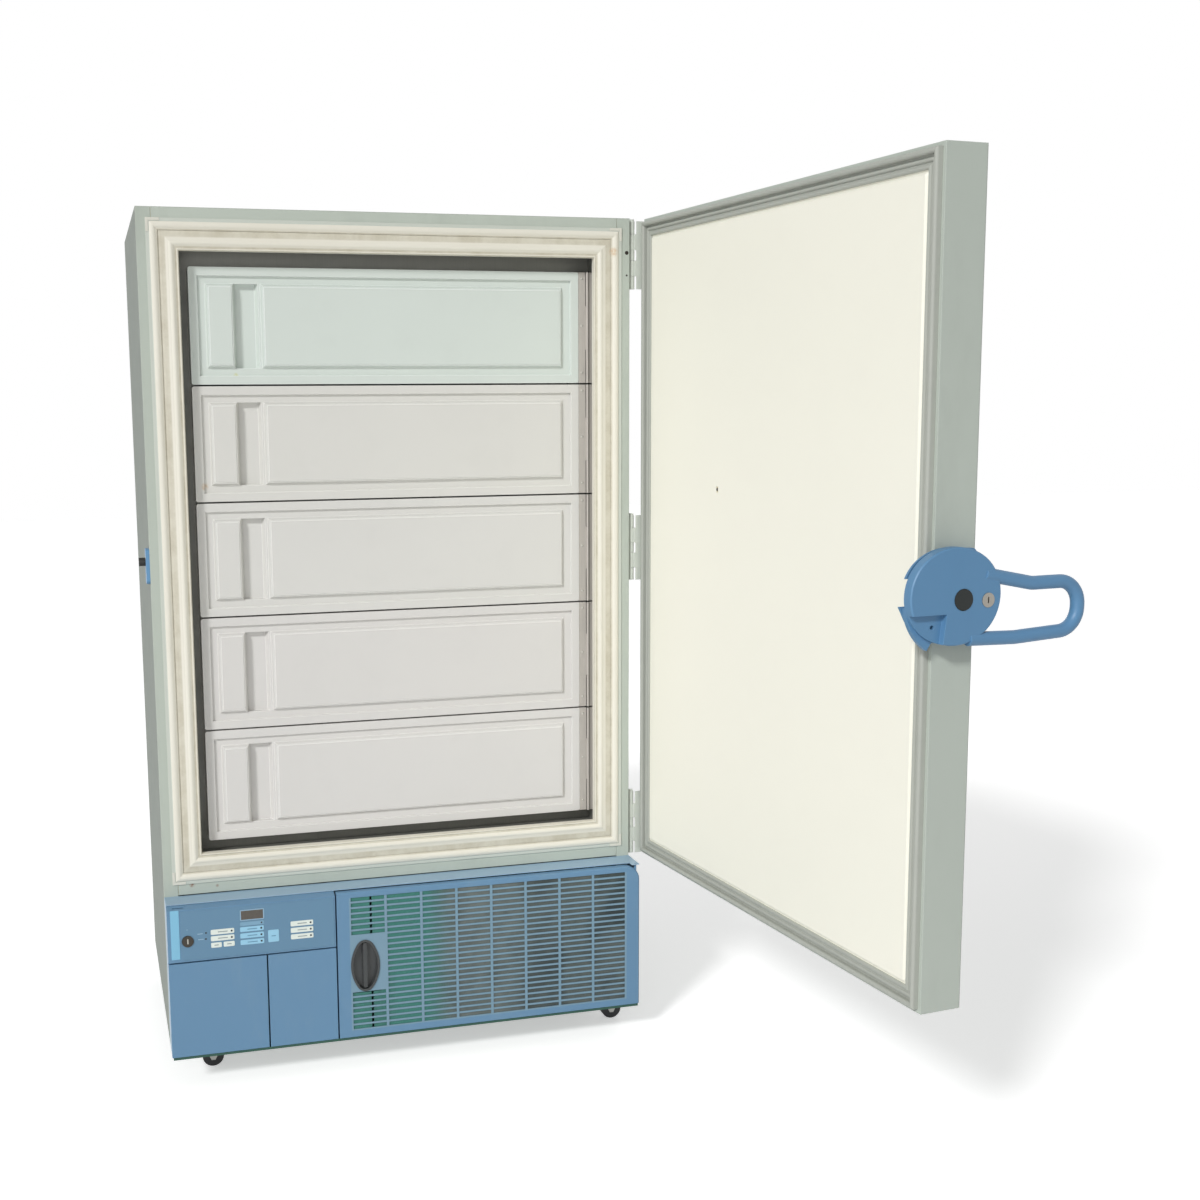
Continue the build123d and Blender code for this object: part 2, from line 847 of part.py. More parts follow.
# Inner panel of the outer door: a shallow tray, its plateau standing inside the gasket
plateau_width = cabinet_width - 2 * plateau_inset
plateau_height = cabinet_height - upper_bottom - 2 * plateau_inset
plateau_middle = (cabinet_height + upper_bottom) / 2
with BuildPart() as door_liner:
    with BuildSketch(swung(front(door_inner))):
        span(
            door_return - half_width,
            half_width - door_return,
            upper_bottom + door_return,
            cabinet_height - door_return,
        )
    extrude(amount=liner_sheet)
    with BuildSketch(swung(rear(door_inner))):
        with Locations((0, plateau_middle)):
            RectangleRounded(plateau_width, plateau_height, plateau_radius)
    extrude(amount=plateau_rise, taper=plateau_draft)
    with BuildSketch(swung(rear(door_inner - liner_sheet))):
        with Locations((0, plateau_middle)):
            RectangleRounded(
                plateau_width - 2 * plateau_wall, plateau_height - 2 * plateau_wall, plateau_radius
            )
    extrude(amount=plateau_rise, mode=Mode.SUBTRACT)
    with BuildSketch(swung(front(door_inner + plateau_rise))):
        with Locations((half_width - sensor_hole_across, cabinet_height - sensor_hole_drop)):
            SlotOverall(sensor_slot_height, sensor_slot_width, rotation=90)
    extrude(amount=liner_sheet, mode=Mode.SUBTRACT)
door_liner.part.label = "door_liner"
export_step(door_liner.part, "parts/door_liner.step")

with BuildPart() as door_insulation:
    with BuildSketch(swung(level(upper_bottom + door_sheet))) as core_plan:
        span(
            door_sheet - half_width,
            half_width - door_sheet,
            door_outer + door_sheet,
            door_inner - door_sheet,
        )
        fillet(core_plan.vertices().group_by(Axis.Y)[0], door_edge_radius - door_sheet)
    extrude(amount=cabinet_height - upper_bottom - 2 * door_sheet)
    with BuildSketch(swung(front(door_inner - door_sheet))):
        span(
            door_return - half_width,
            half_width - door_return,
            upper_bottom + door_return,
            cabinet_height - door_return,
        )
    extrude(amount=liner_sheet - door_sheet, mode=Mode.SUBTRACT)
    with BuildSketch(swung(rear(door_inner - liner_sheet))):
        with Locations((0, plateau_middle)):
            RectangleRounded(
                plateau_width - 2 * plateau_wall, plateau_height - 2 * plateau_wall, plateau_radius
            )
    extrude(amount=plateau_rise)
door_insulation.part.label = "door_insulation"
export_step(door_insulation.part, "parts/door_insulation.step")

# Gasket: one ribbed profile mitred round the door, u inwards from its outer edge
gasket_left = half_width - gasket_inset
gasket_bottom = upper_bottom + gasket_inset
gasket_top = cabinet_height - gasket_inset
with BuildPart() as door_gasket:
    with BuildLine(swung(front(door_inner))) as gasket_path:
        Polyline(
            (0, gasket_bottom),
            (gasket_left, gasket_bottom),
            (gasket_left, gasket_top),
            (-gasket_left, gasket_top),
            (-gasket_left, gasket_bottom),
            close=True,
        )
    gasket_plane = Plane(
        origin=(home_x, home_y + door_inner, gasket_bottom), x_dir=(0, 0, 1), z_dir=(-1, 0, 0)
    )
    with BuildSketch(swung(gasket_plane)):
        with BuildLine():
            Line((0, 0), (0, 0.65 * gasket_height))
            ThreePointArc(
                (0, 0.65 * gasket_height),
                (0.15 * gasket_width, gasket_height),
                (0.3 * gasket_width, 0.65 * gasket_height),
            )
            Line((0.3 * gasket_width, 0.65 * gasket_height), (0.3 * gasket_width, gasket_web))
            Line((0.3 * gasket_width, gasket_web), (0.41 * gasket_width, gasket_web))
            ThreePointArc(
                (0.41 * gasket_width, gasket_web),
                (0.53 * gasket_width, gasket_fold),
                (0.65 * gasket_width, gasket_web),
            )
            Line((0.65 * gasket_width, gasket_web), (0.76 * gasket_width, gasket_web))
            ThreePointArc(
                (0.76 * gasket_width, gasket_web),
                (0.88 * gasket_width, gasket_fold),
                (gasket_width, 0),
            )
            Line((gasket_width, 0), (0, 0))
        make_face()
    sweep(path=gasket_path.wires()[0], transition=Transition.RIGHT)
door_gasket.part.label = "door_gasket"
export_step(door_gasket.part, "parts/door_gasket.step")

# Outer hinges: knuckles in turn on the cabinet's and the door's leaves, pins in the cabinet's
knuckle_ends = [share * hinge_height for share in knuckle_shares]
lowest_hinge = upper_bottom + hinge_low_gap
highest_hinge = cabinet_height - hinge_top_gap - hinge_height
middle_hinge = lowest_hinge + hinge_middle_share * (highest_hinge - lowest_hinge)
hinge_bottoms = (lowest_hinge, middle_hinge, highest_hinge)
leaf_outside = half_width + leaf_thickness
with BuildPart() as cabinet_hinge_leaves:
    for hinge_bottom in hinge_bottoms:
        leaf_end = hinge_y + leaf_length
        web_back = hinge_y + barrel_radius
        with BuildSketch(level(hinge_bottom)):
            span(half_width, leaf_outside, hinge_y + leaf_clear, leaf_end)
        extrude(amount=hinge_height)
        for place in (0, 2, 4):
            with BuildSketch(level(hinge_bottom + knuckle_ends[place] + knuckle_gap / 2)):
                span(half_width, leaf_outside, web_back - leaf_thickness, leaf_end)
                span(half_width, hinge_x, web_back - leaf_thickness, web_back)
                with Locations((hinge_x, hinge_y)):
                    Circle(barrel_radius)
            extrude(amount=knuckle_ends[place + 1] - knuckle_ends[place] - knuckle_gap)
        with BuildSketch(level(hinge_bottom + knuckle_gap)):
            with Locations((hinge_x, hinge_y)):
                Circle(hinge_pin_radius)
        extrude(amount=hinge_height)
        with BuildSketch(level(hinge_bottom + hinge_height - knuckle_gap / 2)):
            with Locations((hinge_x, hinge_y)):
                Circle(pin_head_radius)
        extrude(amount=pin_head_height)
cabinet_hinge_leaves.part.label = "cabinet_hinge_leaves"
export_step(cabinet_hinge_leaves.part, "parts/cabinet_hinge_leaves.step")

with BuildPart() as door_hinge_leaves:
    for hinge_bottom in hinge_bottoms:
        leaf_end = door_inner - leaf_length
        leaf_inside = half_width + leaf_web_gap
        web_front = hinge_y - barrel_radius
        with BuildSketch(swung(level(hinge_bottom))):
            span(half_width, leaf_outside, leaf_end, door_inner)
            span(leaf_inside, leaf_outside, door_inner, hinge_y - leaf_clear)
        extrude(amount=hinge_height)
        for place in (1, 3):
            with BuildSketch(swung(level(hinge_bottom + knuckle_ends[place] + knuckle_gap / 2))):
                span(leaf_inside, leaf_outside, door_inner, web_front + leaf_thickness)
                span(leaf_inside, hinge_x, web_front, web_front + leaf_thickness)
                with Locations((hinge_x, hinge_y)):
                    Circle(barrel_radius)
                    Circle(hinge_pin_radius + running_gap, mode=Mode.SUBTRACT)
            extrude(amount=knuckle_ends[place + 1] - knuckle_ends[place] - knuckle_gap)
door_hinge_leaves.part.label = "door_hinge_leaves"
export_step(door_hinge_leaves.part, "parts/door_hinge_leaves.step")

# Base of the latch on the door's free end: a raised pad, the jaws and the handle's spindle
jaw_offset = base_rise + jaw_thickness
base_back_n = door_thickness - base_inset
with BuildPart() as handle_base:
    with BuildSketch(door_end(0)):
        with Locations(((base_front_n + base_back_n) / 2, disc_centre_z)):
            RectangleRounded(base_back_n - base_front_n, base_height, base_corner)
    extrude(amount=base_rise)
    with BuildSketch(door_end(base_rise)):
        with BuildLine():
            oval(
                disc_centre_n,
                disc_centre_z,
                disc_radius_n - jaw_setback,
                disc_radius_z - jaw_setback,
                disc_end_radius - jaw_setback,
            )
        make_face()
        with BuildLine():
            Polyline(
                (disc_centre_n, disc_centre_z - disc_radius_z + jaw_setback),
                (jaw_chin_n, disc_centre_z - disc_radius_z + jaw_setback),
                (jaw_low_tip_n + jaw_slant, mouth_low - jaw_depth),
                (jaw_low_tip_n, mouth_low),
                (disc_centre_n, mouth_low),
                close=True,
            )
        make_face()
        span(disc_centre_n - disc_radius_n - overrun, jaw_inner_n, mouth_low, mouth_high, Mode.SUBTRACT)
    extrude(amount=jaw_thickness)
    with BuildSketch(door_end(jaw_offset)):
        with Locations((pivot_n, pivot_z)):
            Circle(spindle_radius)
    extrude(amount=disc_front - cap_seat - jaw_offset)
handle_base.part.label = "handle_base"
export_step(handle_base.part, "parts/handle_base.step")

# Hook: a finger on an arc about the spindle, carried by a web
with BuildPart() as latch_hook:
    with BuildSketch(door_end(jaw_offset + hook_gap)):
        with Locations((pivot_n, pivot_z)):
            Circle(hook_hub_radius)
        with BuildLine():
            Line(polar(finger_inner, finger_start), polar(finger_outer, finger_start))
            ThreePointArc(
                polar(finger_outer, finger_start),
                polar(finger_outer, (finger_start + web_end) / 2),
                polar(finger_outer, web_end),
            )
            Line(polar(finger_outer, web_end), polar(spindle_radius, web_end))
            Line(polar(spindle_radius, web_end), polar(spindle_radius, web_start))
            Line(polar(spindle_radius, web_start), polar(finger_inner, web_start))
            ThreePointArc(
                polar(finger_inner, web_start),
                polar(finger_inner, (finger_start + web_start) / 2),
                polar(finger_inner, finger_start),
            )
        make_face()
        with Locations((pivot_n, pivot_z)):
            Circle(spindle_radius + running_gap, mode=Mode.SUBTRACT)
    extrude(amount=hook_thickness)
latch_hook.part.label = "latch_hook"
export_step(latch_hook.part, "parts/latch_hook.step")

# Handle: an oval disc with a loop of tube, a step cut for a padlock and a seat for the lock
lever_plane = door_end(lever_centre_offset)
with BuildPart() as door_handle:
    with BuildSketch(door_end(disc_back)):
        with BuildLine():
            oval(disc_centre_n, disc_centre_z, disc_radius_n, disc_radius_z, disc_end_radius)
        make_face()
    extrude(amount=disc_thickness)
    outwards = Axis(door_end(0).origin, door_end(0).z_dir)
    chamfer(door_handle.edges().group_by(outwards)[-1], disc_edge)
    with BuildLine(lever_plane) as lever_path:
        FilletPolyline(
            (lever_start_n, lever_start_z),
            (lever_bend_n, lever_top_z),
            (lever_reach, lever_top_z),
            (lever_reach, lever_bottom_z),
            (lever_return_n, lever_return_z),
            (lever_end_n, lever_end_z),
            radius=lever_corner_radius,
        )
    with BuildSketch(Plane(origin=lever_path.line @ 0, z_dir=lever_path.line % 0)):
        Circle(lever_tube_radius)
    sweep(path=lever_path.line)
    with BuildSketch(door_end(disc_front)):
        with BuildLine():
            Polyline(
                (pocket_right_n, pocket_top),
                (pocket_right_n - pocket_slant, disc_centre_z - disc_radius_z - overrun),
                (disc_centre_n - disc_radius_n - overrun, disc_centre_z - disc_radius_z - overrun),
                (disc_centre_n - disc_radius_n - overrun, pocket_top),
                close=True,
            )
        make_face()
    extrude(amount=-pocket_depth, mode=Mode.SUBTRACT)
    with BuildSketch(door_end(disc_front)):
        with Locations((padlock_hole_n, padlock_hole_z)):
            Circle(padlock_hole_radius)
        with Locations((pivot_n, pivot_z)):
            Circle(spindle_radius + running_gap)
    extrude(amount=-disc_thickness, mode=Mode.SUBTRACT)
    with BuildSketch(door_end(disc_front)):
        with Locations((pivot_n, pivot_z)):
            Circle(cap_radius + cap_gap)
    extrude(amount=-cap_seat - cap_gap, mode=Mode.SUBTRACT)
    with BuildSketch(door_end(disc_front)):
        with Locations((lock_n, lock_z)):
            Circle(lock_radius + running_gap)
    extrude(amount=-lock_depth, mode=Mode.SUBTRACT)
door_handle.part.label = "door_handle"
export_step(door_handle.part, "parts/door_handle.step")

with BuildPart() as pivot_cap:
    with BuildSketch(door_end(disc_front - cap_seat)):
        with Locations((pivot_n, pivot_z)):
            Circle(cap_radius)
    extrude(amount=cap_thickness)
pivot_cap.part.label = "pivot_cap"
export_step(pivot_cap.part, "parts/pivot_cap.step")


def key_slot(centre):
    """The slot that a key goes into, in the current sketch."""
    with Locations(centre):
        Rectangle(key_slot_width, key_slot_length)


with BuildPart() as door_lock:
    with BuildSketch(door_end(disc_front - lock_depth)):
        with Locations((lock_n, lock_z)):
            Circle(lock_radius)
    extrude(amount=lock_depth + lock_rise)
    with BuildSketch(door_end(disc_front + lock_rise)):
        key_slot((lock_n, lock_z))
    extrude(amount=-key_slot_depth, mode=Mode.SUBTRACT)
door_lock.part.label = "door_lock"
export_step(door_lock.part, "parts/door_lock.step")

# Strike: a block screwed to the left side, and the pin that the hook takes
strike_middle_y = strike_front_gap + strike_depth / 2
with BuildPart() as strike_plate:
    with BuildSketch(side(-half_width - strike_thickness)):
        with Locations((strike_middle_y, strike_top - strike_height / 2)):
            RectangleRounded(strike_depth, strike_height, strike_corner)
    extrude(amount=strike_thickness)
strike_plate.part.label = "strike_plate"
export_step(strike_plate.part, "parts/strike_plate.step")

strike_pin_tip = -half_width - strike_thickness - strike_pin_length
with BuildPart() as strike_pin:
    with BuildSketch(side(strike_pin_tip)):
        with Locations((strike_pin_y, strike_pin_z)):
            Circle(strike_pin_radius)
    extrude(amount=strike_pin_length)
strike_pin.part.label = "strike_pin"
export_step(strike_pin.part, "parts/strike_pin.step")

# Base pan, with posts that the front panels close on
panel_back = fascia_y + panel_depth
pan_half = half_width - pan_side_gap
post_places = (
    -half_width + post_width / 2 + pan_side_gap,
    lower_split_x,
    control_panel_right - post_width / 2,
)
with BuildPart() as base_frame:
    with BuildSketch(level(pan_bottom)):
        span(-pan_half, pan_half, fascia_y + pan_front_gap, cabinet_depth - sheet)
    extrude(amount=pan_sheet)
    with BuildSketch(level(pan_bottom)):
        span(-pan_half, pan_half, fascia_y + pan_front_gap, cabinet_depth - sheet)
        span(
            pan_sheet - pan_half,
            pan_half - pan_sheet,
            fascia_y + pan_front_gap + pan_sheet,
            cabinet_depth - sheet - pan_sheet,
            Mode.SUBTRACT,
        )
    extrude(amount=base_bottom - pan_bottom)
    with BuildSketch(level(pan_bottom)):
        with Locations((half_width - grille_axis_inset, fascia_y + grille_axis_depth)):
            Circle(grille_pin_radius + running_gap)
    extrude(amount=base_bottom - pan_bottom, mode=Mode.SUBTRACT)
    with BuildSketch(level(pan_bottom)):
        for post_x in post_places:
            span(
                post_x - post_width / 2,
                post_x + post_width / 2,
                panel_back,
                panel_back + post_width,
            )
    extrude(amount=panel_top - pan_bottom)
base_frame.part.label = "base_frame"
export_step(base_frame.part, "parts/base_frame.step")

# Ledge over the machine compartment, with a cheek down each side
tab_left = half_width - grille_tab
with BuildPart() as front_ledge:
    with BuildSketch(level(ledge_height)):
        span(-half_width, half_width, panel_back, 0)
        span(tab_left, half_width, fascia_y + panel_sheet, panel_back)
        with Locations((half_width - grille_axis_inset, fascia_y + grille_axis_depth)):
            Circle(grille_pin_radius + running_gap, mode=Mode.SUBTRACT)
    extrude(amount=-panel_sheet)
    with BuildSketch(side(half_width - panel_sheet)):
        span(-cheek_setback, 0, panel_bottom, ledge_height)
    extrude(amount=panel_sheet)
    with BuildSketch(side(-half_width)):
        span(panel_back, 0, panel_bottom, ledge_height)
    extrude(amount=panel_sheet)
front_ledge.part.label = "front_ledge"
export_step(front_ledge.part, "parts/front_ledge.step")


def panel_profile(inset):
    """Side outline of the control panel, in from its skin by inset."""
    return (
        (fascia_y + inset, control_panel_bottom + inset),
        (fascia_y + inset, panel_top + slope_rise - control_slope_drop - inset),
        (panel_back, panel_top + slope_rise - inset),
        (panel_back, control_panel_bottom + inset),
    )


# Control panel, with a sloping top
ledge_slot_x = ledge_slot_inset - half_width
key_switch_x = key_switch_inset - half_width
key_switch_z = control_panel_bottom + key_switch_lift
with BuildPart() as control_panel:
    with BuildSketch(side(-half_width)):
        with BuildLine():
            Polyline(*panel_profile(0), close=True)
        make_face()
    extrude(amount=control_panel_right + half_width)
    with BuildSketch(side(panel_sheet - half_width)):
        with BuildLine():
            Polyline(*panel_profile(panel_sheet), close=True)
        make_face()
    extrude(amount=control_panel_right + half_width - 2 * panel_sheet, mode=Mode.SUBTRACT)
    with BuildSketch(front(fascia_y)):
        with Locations((key_switch_x, key_switch_z)):
            Circle(key_switch_radius + running_gap)
    extrude(amount=-panel_sheet, mode=Mode.SUBTRACT)
    with BuildSketch(level(panel_top + slope_rise)):
        with Locations((ledge_slot_x, fascia_y + panel_depth / 2)):
            Rectangle(ledge_slot_length, ledge_slot_width)
    extrude(amount=-2 * control_slope_drop, mode=Mode.SUBTRACT)
control_panel.part.label = "control_panel"
export_step(control_panel.part, "parts/control_panel.step")

overlay_left = overlay_inset - half_width
overlay_right = control_panel_right - overlay_margin
overlay_bottom = control_panel_bottom + overlay_low_margin
overlay_top = panel_top - overlay_top_margin
display_left = display_inset - half_width
display_right = display_left + display_width
display_top = overlay_top - display_drop
display_bottom = display_top - display_height
with BuildPart() as control_overlay:
    with BuildSketch(front(fascia_y)) as overlay_outline:
        span(overlay_left, overlay_right, overlay_bottom, overlay_top)
        fillet(overlay_outline.vertices().sort_by(Axis.X)[:2].sort_by(Axis.Y)[0], overlay_corner)
        span(display_left, display_right, display_bottom, display_top, Mode.SUBTRACT)
        with Locations((key_switch_x, key_switch_z)):
            Circle(key_switch_radius + cap_gap, mode=Mode.SUBTRACT)
    extrude(amount=overlay_thickness)
control_overlay.part.label = "control_overlay"
export_step(control_overlay.part, "parts/control_overlay.step")

with BuildPart() as display_window:
    with BuildSketch(front(fascia_y)):
        span(display_left, display_right, display_bottom, display_top)
    extrude(amount=overlay_thickness + display_rise)
display_window.part.label = "display_window"
export_step(display_window.part, "parts/display_window.step")

with BuildPart() as key_switch:
    with BuildSketch(front(fascia_y + key_switch_length)):
        with Locations((key_switch_x, key_switch_z)):
            Circle(key_switch_radius)
    extrude(amount=key_switch_length + key_switch_rise)
    with BuildSketch(front(fascia_y - key_switch_rise)):
        key_slot((key_switch_x, key_switch_z))
    extrude(amount=-key_slot_depth, mode=Mode.SUBTRACT)
key_switch.part.label = "key_switch"
export_step(key_switch.part, "parts/key_switch.step")

# Two plain panels below the control panel
lower_top = control_panel_bottom - panel_gap
for label, panel_left, panel_right in (
    ("lower_left_panel", -half_width, lower_split_x - panel_gap / 2),
    ("lower_middle_panel", lower_split_x + panel_gap / 2, control_panel_right),
):
    with BuildPart() as lower_panel:
        with BuildSketch(front(fascia_y)):
            span(panel_left, panel_right, panel_bottom, lower_top)
        extrude(amount=-panel_depth)
        with BuildSketch(front(fascia_y + panel_sheet)):
            span(
                panel_left + panel_sheet,
                panel_right - panel_sheet,
                panel_bottom + panel_sheet,
                lower_top - panel_sheet,
            )
        extrude(amount=panel_sheet - panel_depth, mode=Mode.SUBTRACT)
    lower_panel.part.label = label
    export_step(lower_panel.part, f"parts/{label}.step")

# Grille door: a shallow tray with rows of slots, hinged on two pins at its right end
grille_left = control_panel_right + panel_gap
grille_first_x = grille_left + grille_left_margin
grille_first_z = panel_top - grille_top_margin
grille_last_z = panel_bottom + grille_low_margin
grille_run = half_width - grille_right_margin - grille_first_x
grille_column_pitch = (grille_run + grille_rib) / grille_columns
grille_row_pitch = (grille_first_z - grille_last_z) / (grille_rows - 1)
grille_slot_width = grille_column_pitch - grille_rib
oval_x = grille_left + oval_inset
oval_z = panel_bottom + oval_lift
grille_axis_x = half_width - grille_axis_inset
grille_axis_y = fascia_y + grille_axis_depth


def latch_oval(inset):
    """Outline of the finger pull, in by inset, for the current line."""
    reach_x = oval_radius_x - inset
    reach_z = oval_radius_z - inset
    oval(oval_x, oval_z, reach_x, reach_z, oval_end_radius - inset)


with BuildPart() as grille_door:
    with BuildSketch(front(panel_back)) as grille_outline:
        span(grille_left, half_width, panel_bottom, panel_top)
        fillet(grille_outline.vertices().sort_by(Axis((0, 0, 0), (1, 1, 0)))[-1], grille_corner_radius)
    extrude(amount=panel_depth)
    chamfer(
        grille_door.faces().sort_by(Axis.Y)[0].edges().sort_by(Axis.Z)[-1], grille_edge
    )
    with BuildSketch(front(panel_back)) as hollow_outline:
        span(
            grille_left + panel_sheet,
            half_width - panel_sheet,
            panel_bottom + panel_sheet,
            panel_top - panel_sheet - grille_edge,
        )
        fillet(
            hollow_outline.vertices().sort_by(Axis((0, 0, 0), (1, 1, 0)))[-1],
            grille_corner_radius - panel_sheet,
        )
    extrude(amount=panel_depth - panel_sheet, mode=Mode.SUBTRACT)
    with BuildSketch(front(fascia_y)):
        for column in range(grille_columns):
            for row in range(grille_rows):
                beside_oval = oval_rows_above <= row < grille_rows - oval_rows_below
                if column == 0 and beside_oval:
                    continue
                slot_x = grille_first_x + grille_slot_width / 2 + column * grille_column_pitch
                with Locations((slot_x, grille_first_z - row * grille_row_pitch)):
                    Rectangle(grille_slot_width, grille_slot_height)
        with BuildLine():
            latch_oval(oval_rim)
        make_face()
    extrude(amount=-panel_sheet, mode=Mode.SUBTRACT)
    with BuildSketch(level(pan_bottom + pan_sheet / 2)):
        with Locations((grille_axis_x, grille_axis_y)):
            Circle(grille_pin_radius)
    extrude(amount=panel_bottom + grille_tab - pan_bottom)
    with BuildSketch(level(ledge_height - panel_sheet / 4)):
        with Locations((grille_axis_x, grille_axis_y)):
            Circle(grille_pin_radius)
    extrude(amount=-grille_corner_radius - grille_tab)
grille_door.part.label = "grille_door"
export_step(grille_door.part, "parts/grille_door.step")

# Finger pull of the grille door: an oval cup behind a rim, with a ridge to pull on
with BuildPart() as grille_latch:
    with BuildSketch(front(fascia_y)):
        with BuildLine():
            latch_oval(0)
        make_face()
    extrude(amount=oval_rim)
    with BuildSketch(front(fascia_y)):
        with BuildLine():
            latch_oval(oval_rim + cap_gap)
        make_face()
    extrude(amount=-oval_depth)
    with BuildSketch(front(fascia_y - oval_rim)):
        with BuildLine():
            latch_oval(2 * oval_rim)
        make_face()
    extrude(amount=oval_wall - oval_depth - oval_rim, mode=Mode.SUBTRACT)
    with BuildSketch(front(fascia_y + oval_depth - oval_wall)):
        with Locations((oval_x, oval_z)):
            SlotOverall(2 * (oval_radius_z - 3 * oval_rim), 2 * oval_ridge, rotation=90)
    extrude(amount=oval_depth - oval_wall)
grille_latch.part.label = "grille_latch"
export_step(grille_latch.part, "parts/grille_latch.step")

# Compressors on the base pan
deck = pan_bottom + pan_sheet
with BuildPart() as compressors:
    for share_x, share_y in compressor_site_shares:
        site_x = share_x * cabinet_width
        site_y = share_y * cabinet_depth
        shell_low = deck + compressor_foot + compressor_plate
        shell_high = shell_low + compressor_height
        shoulder = compressor_radius - 0.3 * (compressor_radius - compressor_crown)
        with BuildSketch(front(site_y)):
            with BuildLine():
                Polyline(
                    (site_x, shell_low),
                    (site_x + compressor_radius - compressor_base, shell_low),
                    (site_x + compressor_radius, shell_low + compressor_base),
                    (site_x + compressor_radius, shell_high - compressor_dome),
                    (site_x + shoulder, shell_high - 0.35 * compressor_dome),
                    (site_x + compressor_crown, shell_high),
                    (site_x, shell_high),
                    close=True,
                )
            make_face()
        revolve(axis=Axis((home_x + site_x, home_y + site_y, 0), (0, 0, 1)))
        with BuildSketch(level(deck + compressor_foot)):
            with Locations((site_x, site_y)):
                Rectangle(2 * compressor_radius, 2 * compressor_radius)
        extrude(amount=compressor_plate)
        with BuildSketch(level(deck)):
            for across in (-1, 1):
                for along in (-1, 1):
                    foot = compressor_radius - compressor_foot_width / 2
                    with Locations((site_x + across * foot, site_y + along * foot)):
                        Rectangle(compressor_foot_width, compressor_foot_width)
        extrude(amount=compressor_foot)
        with BuildSketch(level(deck + compressor_height / 2)):
            with Locations((site_x, site_y - compressor_radius)):
                Rectangle(terminal_box_width, 2 * terminal_box_depth)
        extrude(amount=terminal_box_height)
compressors.part.label = "compressors"
export_step(compressors.part, "parts/compressors.step")

# Condenser: a finned core behind the grille
condenser_left = control_panel_right + condenser_left_inset
condenser_right = half_width - condenser_right_inset
condenser_bottom = deck + condenser_stand
condenser_top = upper_bottom - condenser_top_gap
condenser_height = condenser_top - condenser_bottom
fin_count = round((condenser_right - condenser_left) / fin_pitch)
fin_spacing = (condenser_right - condenser_left) / fin_count
with BuildPart() as condenser_coil:
    with BuildSketch(level(condenser_bottom)):
        core_front = condenser_front + (condenser_depth - condenser_core) / 2
        span(condenser_left, condenser_right, core_front, core_front + condenser_core)
        for fin in range(fin_count):
            fin_x = condenser_left + (fin + 0.5) * fin_spacing
            span(
                fin_x - fin_thickness / 2,
                fin_x + fin_thickness / 2,
                condenser_front,
                condenser_front + condenser_depth,
            )
    extrude(amount=condenser_height)
    with BuildSketch(level(condenser_bottom)):
        for header_x in (condenser_left - header_radius, condenser_right + header_radius):
            with Locations((header_x, condenser_front + condenser_depth / 2)):
                Circle(header_radius + header_lap)
    extrude(amount=condenser_height)
    with BuildSketch(level(deck)):
        for stand_left in (condenser_left, condenser_right - post_width):
            span(
                stand_left,
                stand_left + post_width,
                condenser_front + fin_thickness,
                condenser_front + condenser_depth - fin_thickness,
            )
    extrude(amount=condenser_bottom - deck)
condenser_coil.part.label = "condenser_coil"
export_step(condenser_coil.part, "parts/condenser_coil.step")

# Fan shroud on the back of the condenser, with arms that hold the motor
fan_x = (condenser_left + condenser_right) / 2
fan_z = (condenser_bottom + condenser_top) / 2
shroud_y = condenser_front + condenser_depth
ring_radius = fan_radius + fan_tip_gap
hub_front = shroud_y + fan_stand_off
motor_front = hub_front + fan_hub_length + motor_gap
with BuildPart() as fan_bracket:
    with BuildSketch(front(shroud_y)):
        span(condenser_left, condenser_right, condenser_bottom, condenser_top)
        with Locations((fan_x, fan_z)):
            Circle(ring_radius, mode=Mode.SUBTRACT)
    extrude(amount=-shroud_sheet)
    with BuildSketch(front(shroud_y)):
        with Locations((fan_x, fan_z)):
            Circle(ring_radius + shroud_sheet)
            Circle(ring_radius, mode=Mode.SUBTRACT)
    extrude(amount=-shroud_ring)
    with BuildSketch(front(motor_front + motor_length / 2)):
        with Locations((fan_x, fan_z)):
            Circle(motor_radius + arm_thickness)
            with PolarLocations(ring_radius / 2, motor_arms, start_angle=90):
                Rectangle(ring_radius + 2 * shroud_sheet, arm_width)
            Circle(motor_radius, mode=Mode.SUBTRACT)
    extrude(amount=-arm_width)
    with BuildSketch(front(shroud_y + shroud_ring)):
        with Locations((fan_x, fan_z)):
            with PolarLocations(ring_radius + shroud_sheet / 2, motor_arms, start_angle=90):
                Rectangle(arm_thickness, arm_width)
    extrude(amount=shroud_y + shroud_ring - motor_front - motor_length / 2 - arm_width)
fan_bracket.part.label = "fan_bracket"
export_step(fan_bracket.part, "parts/fan_bracket.step")

with BuildPart() as fan_motor:
    with BuildSketch(front(motor_front)):
        with Locations((fan_x, fan_z)):
            Circle(motor_radius)
    extrude(amount=-motor_length)
    with BuildSketch(front(motor_front)):
        with Locations((fan_x, fan_z)):
            Circle(motor_shaft_radius)
    extrude(amount=fan_hub_length)
fan_motor.part.label = "fan_motor"
export_step(fan_motor.part, "parts/fan_motor.step")

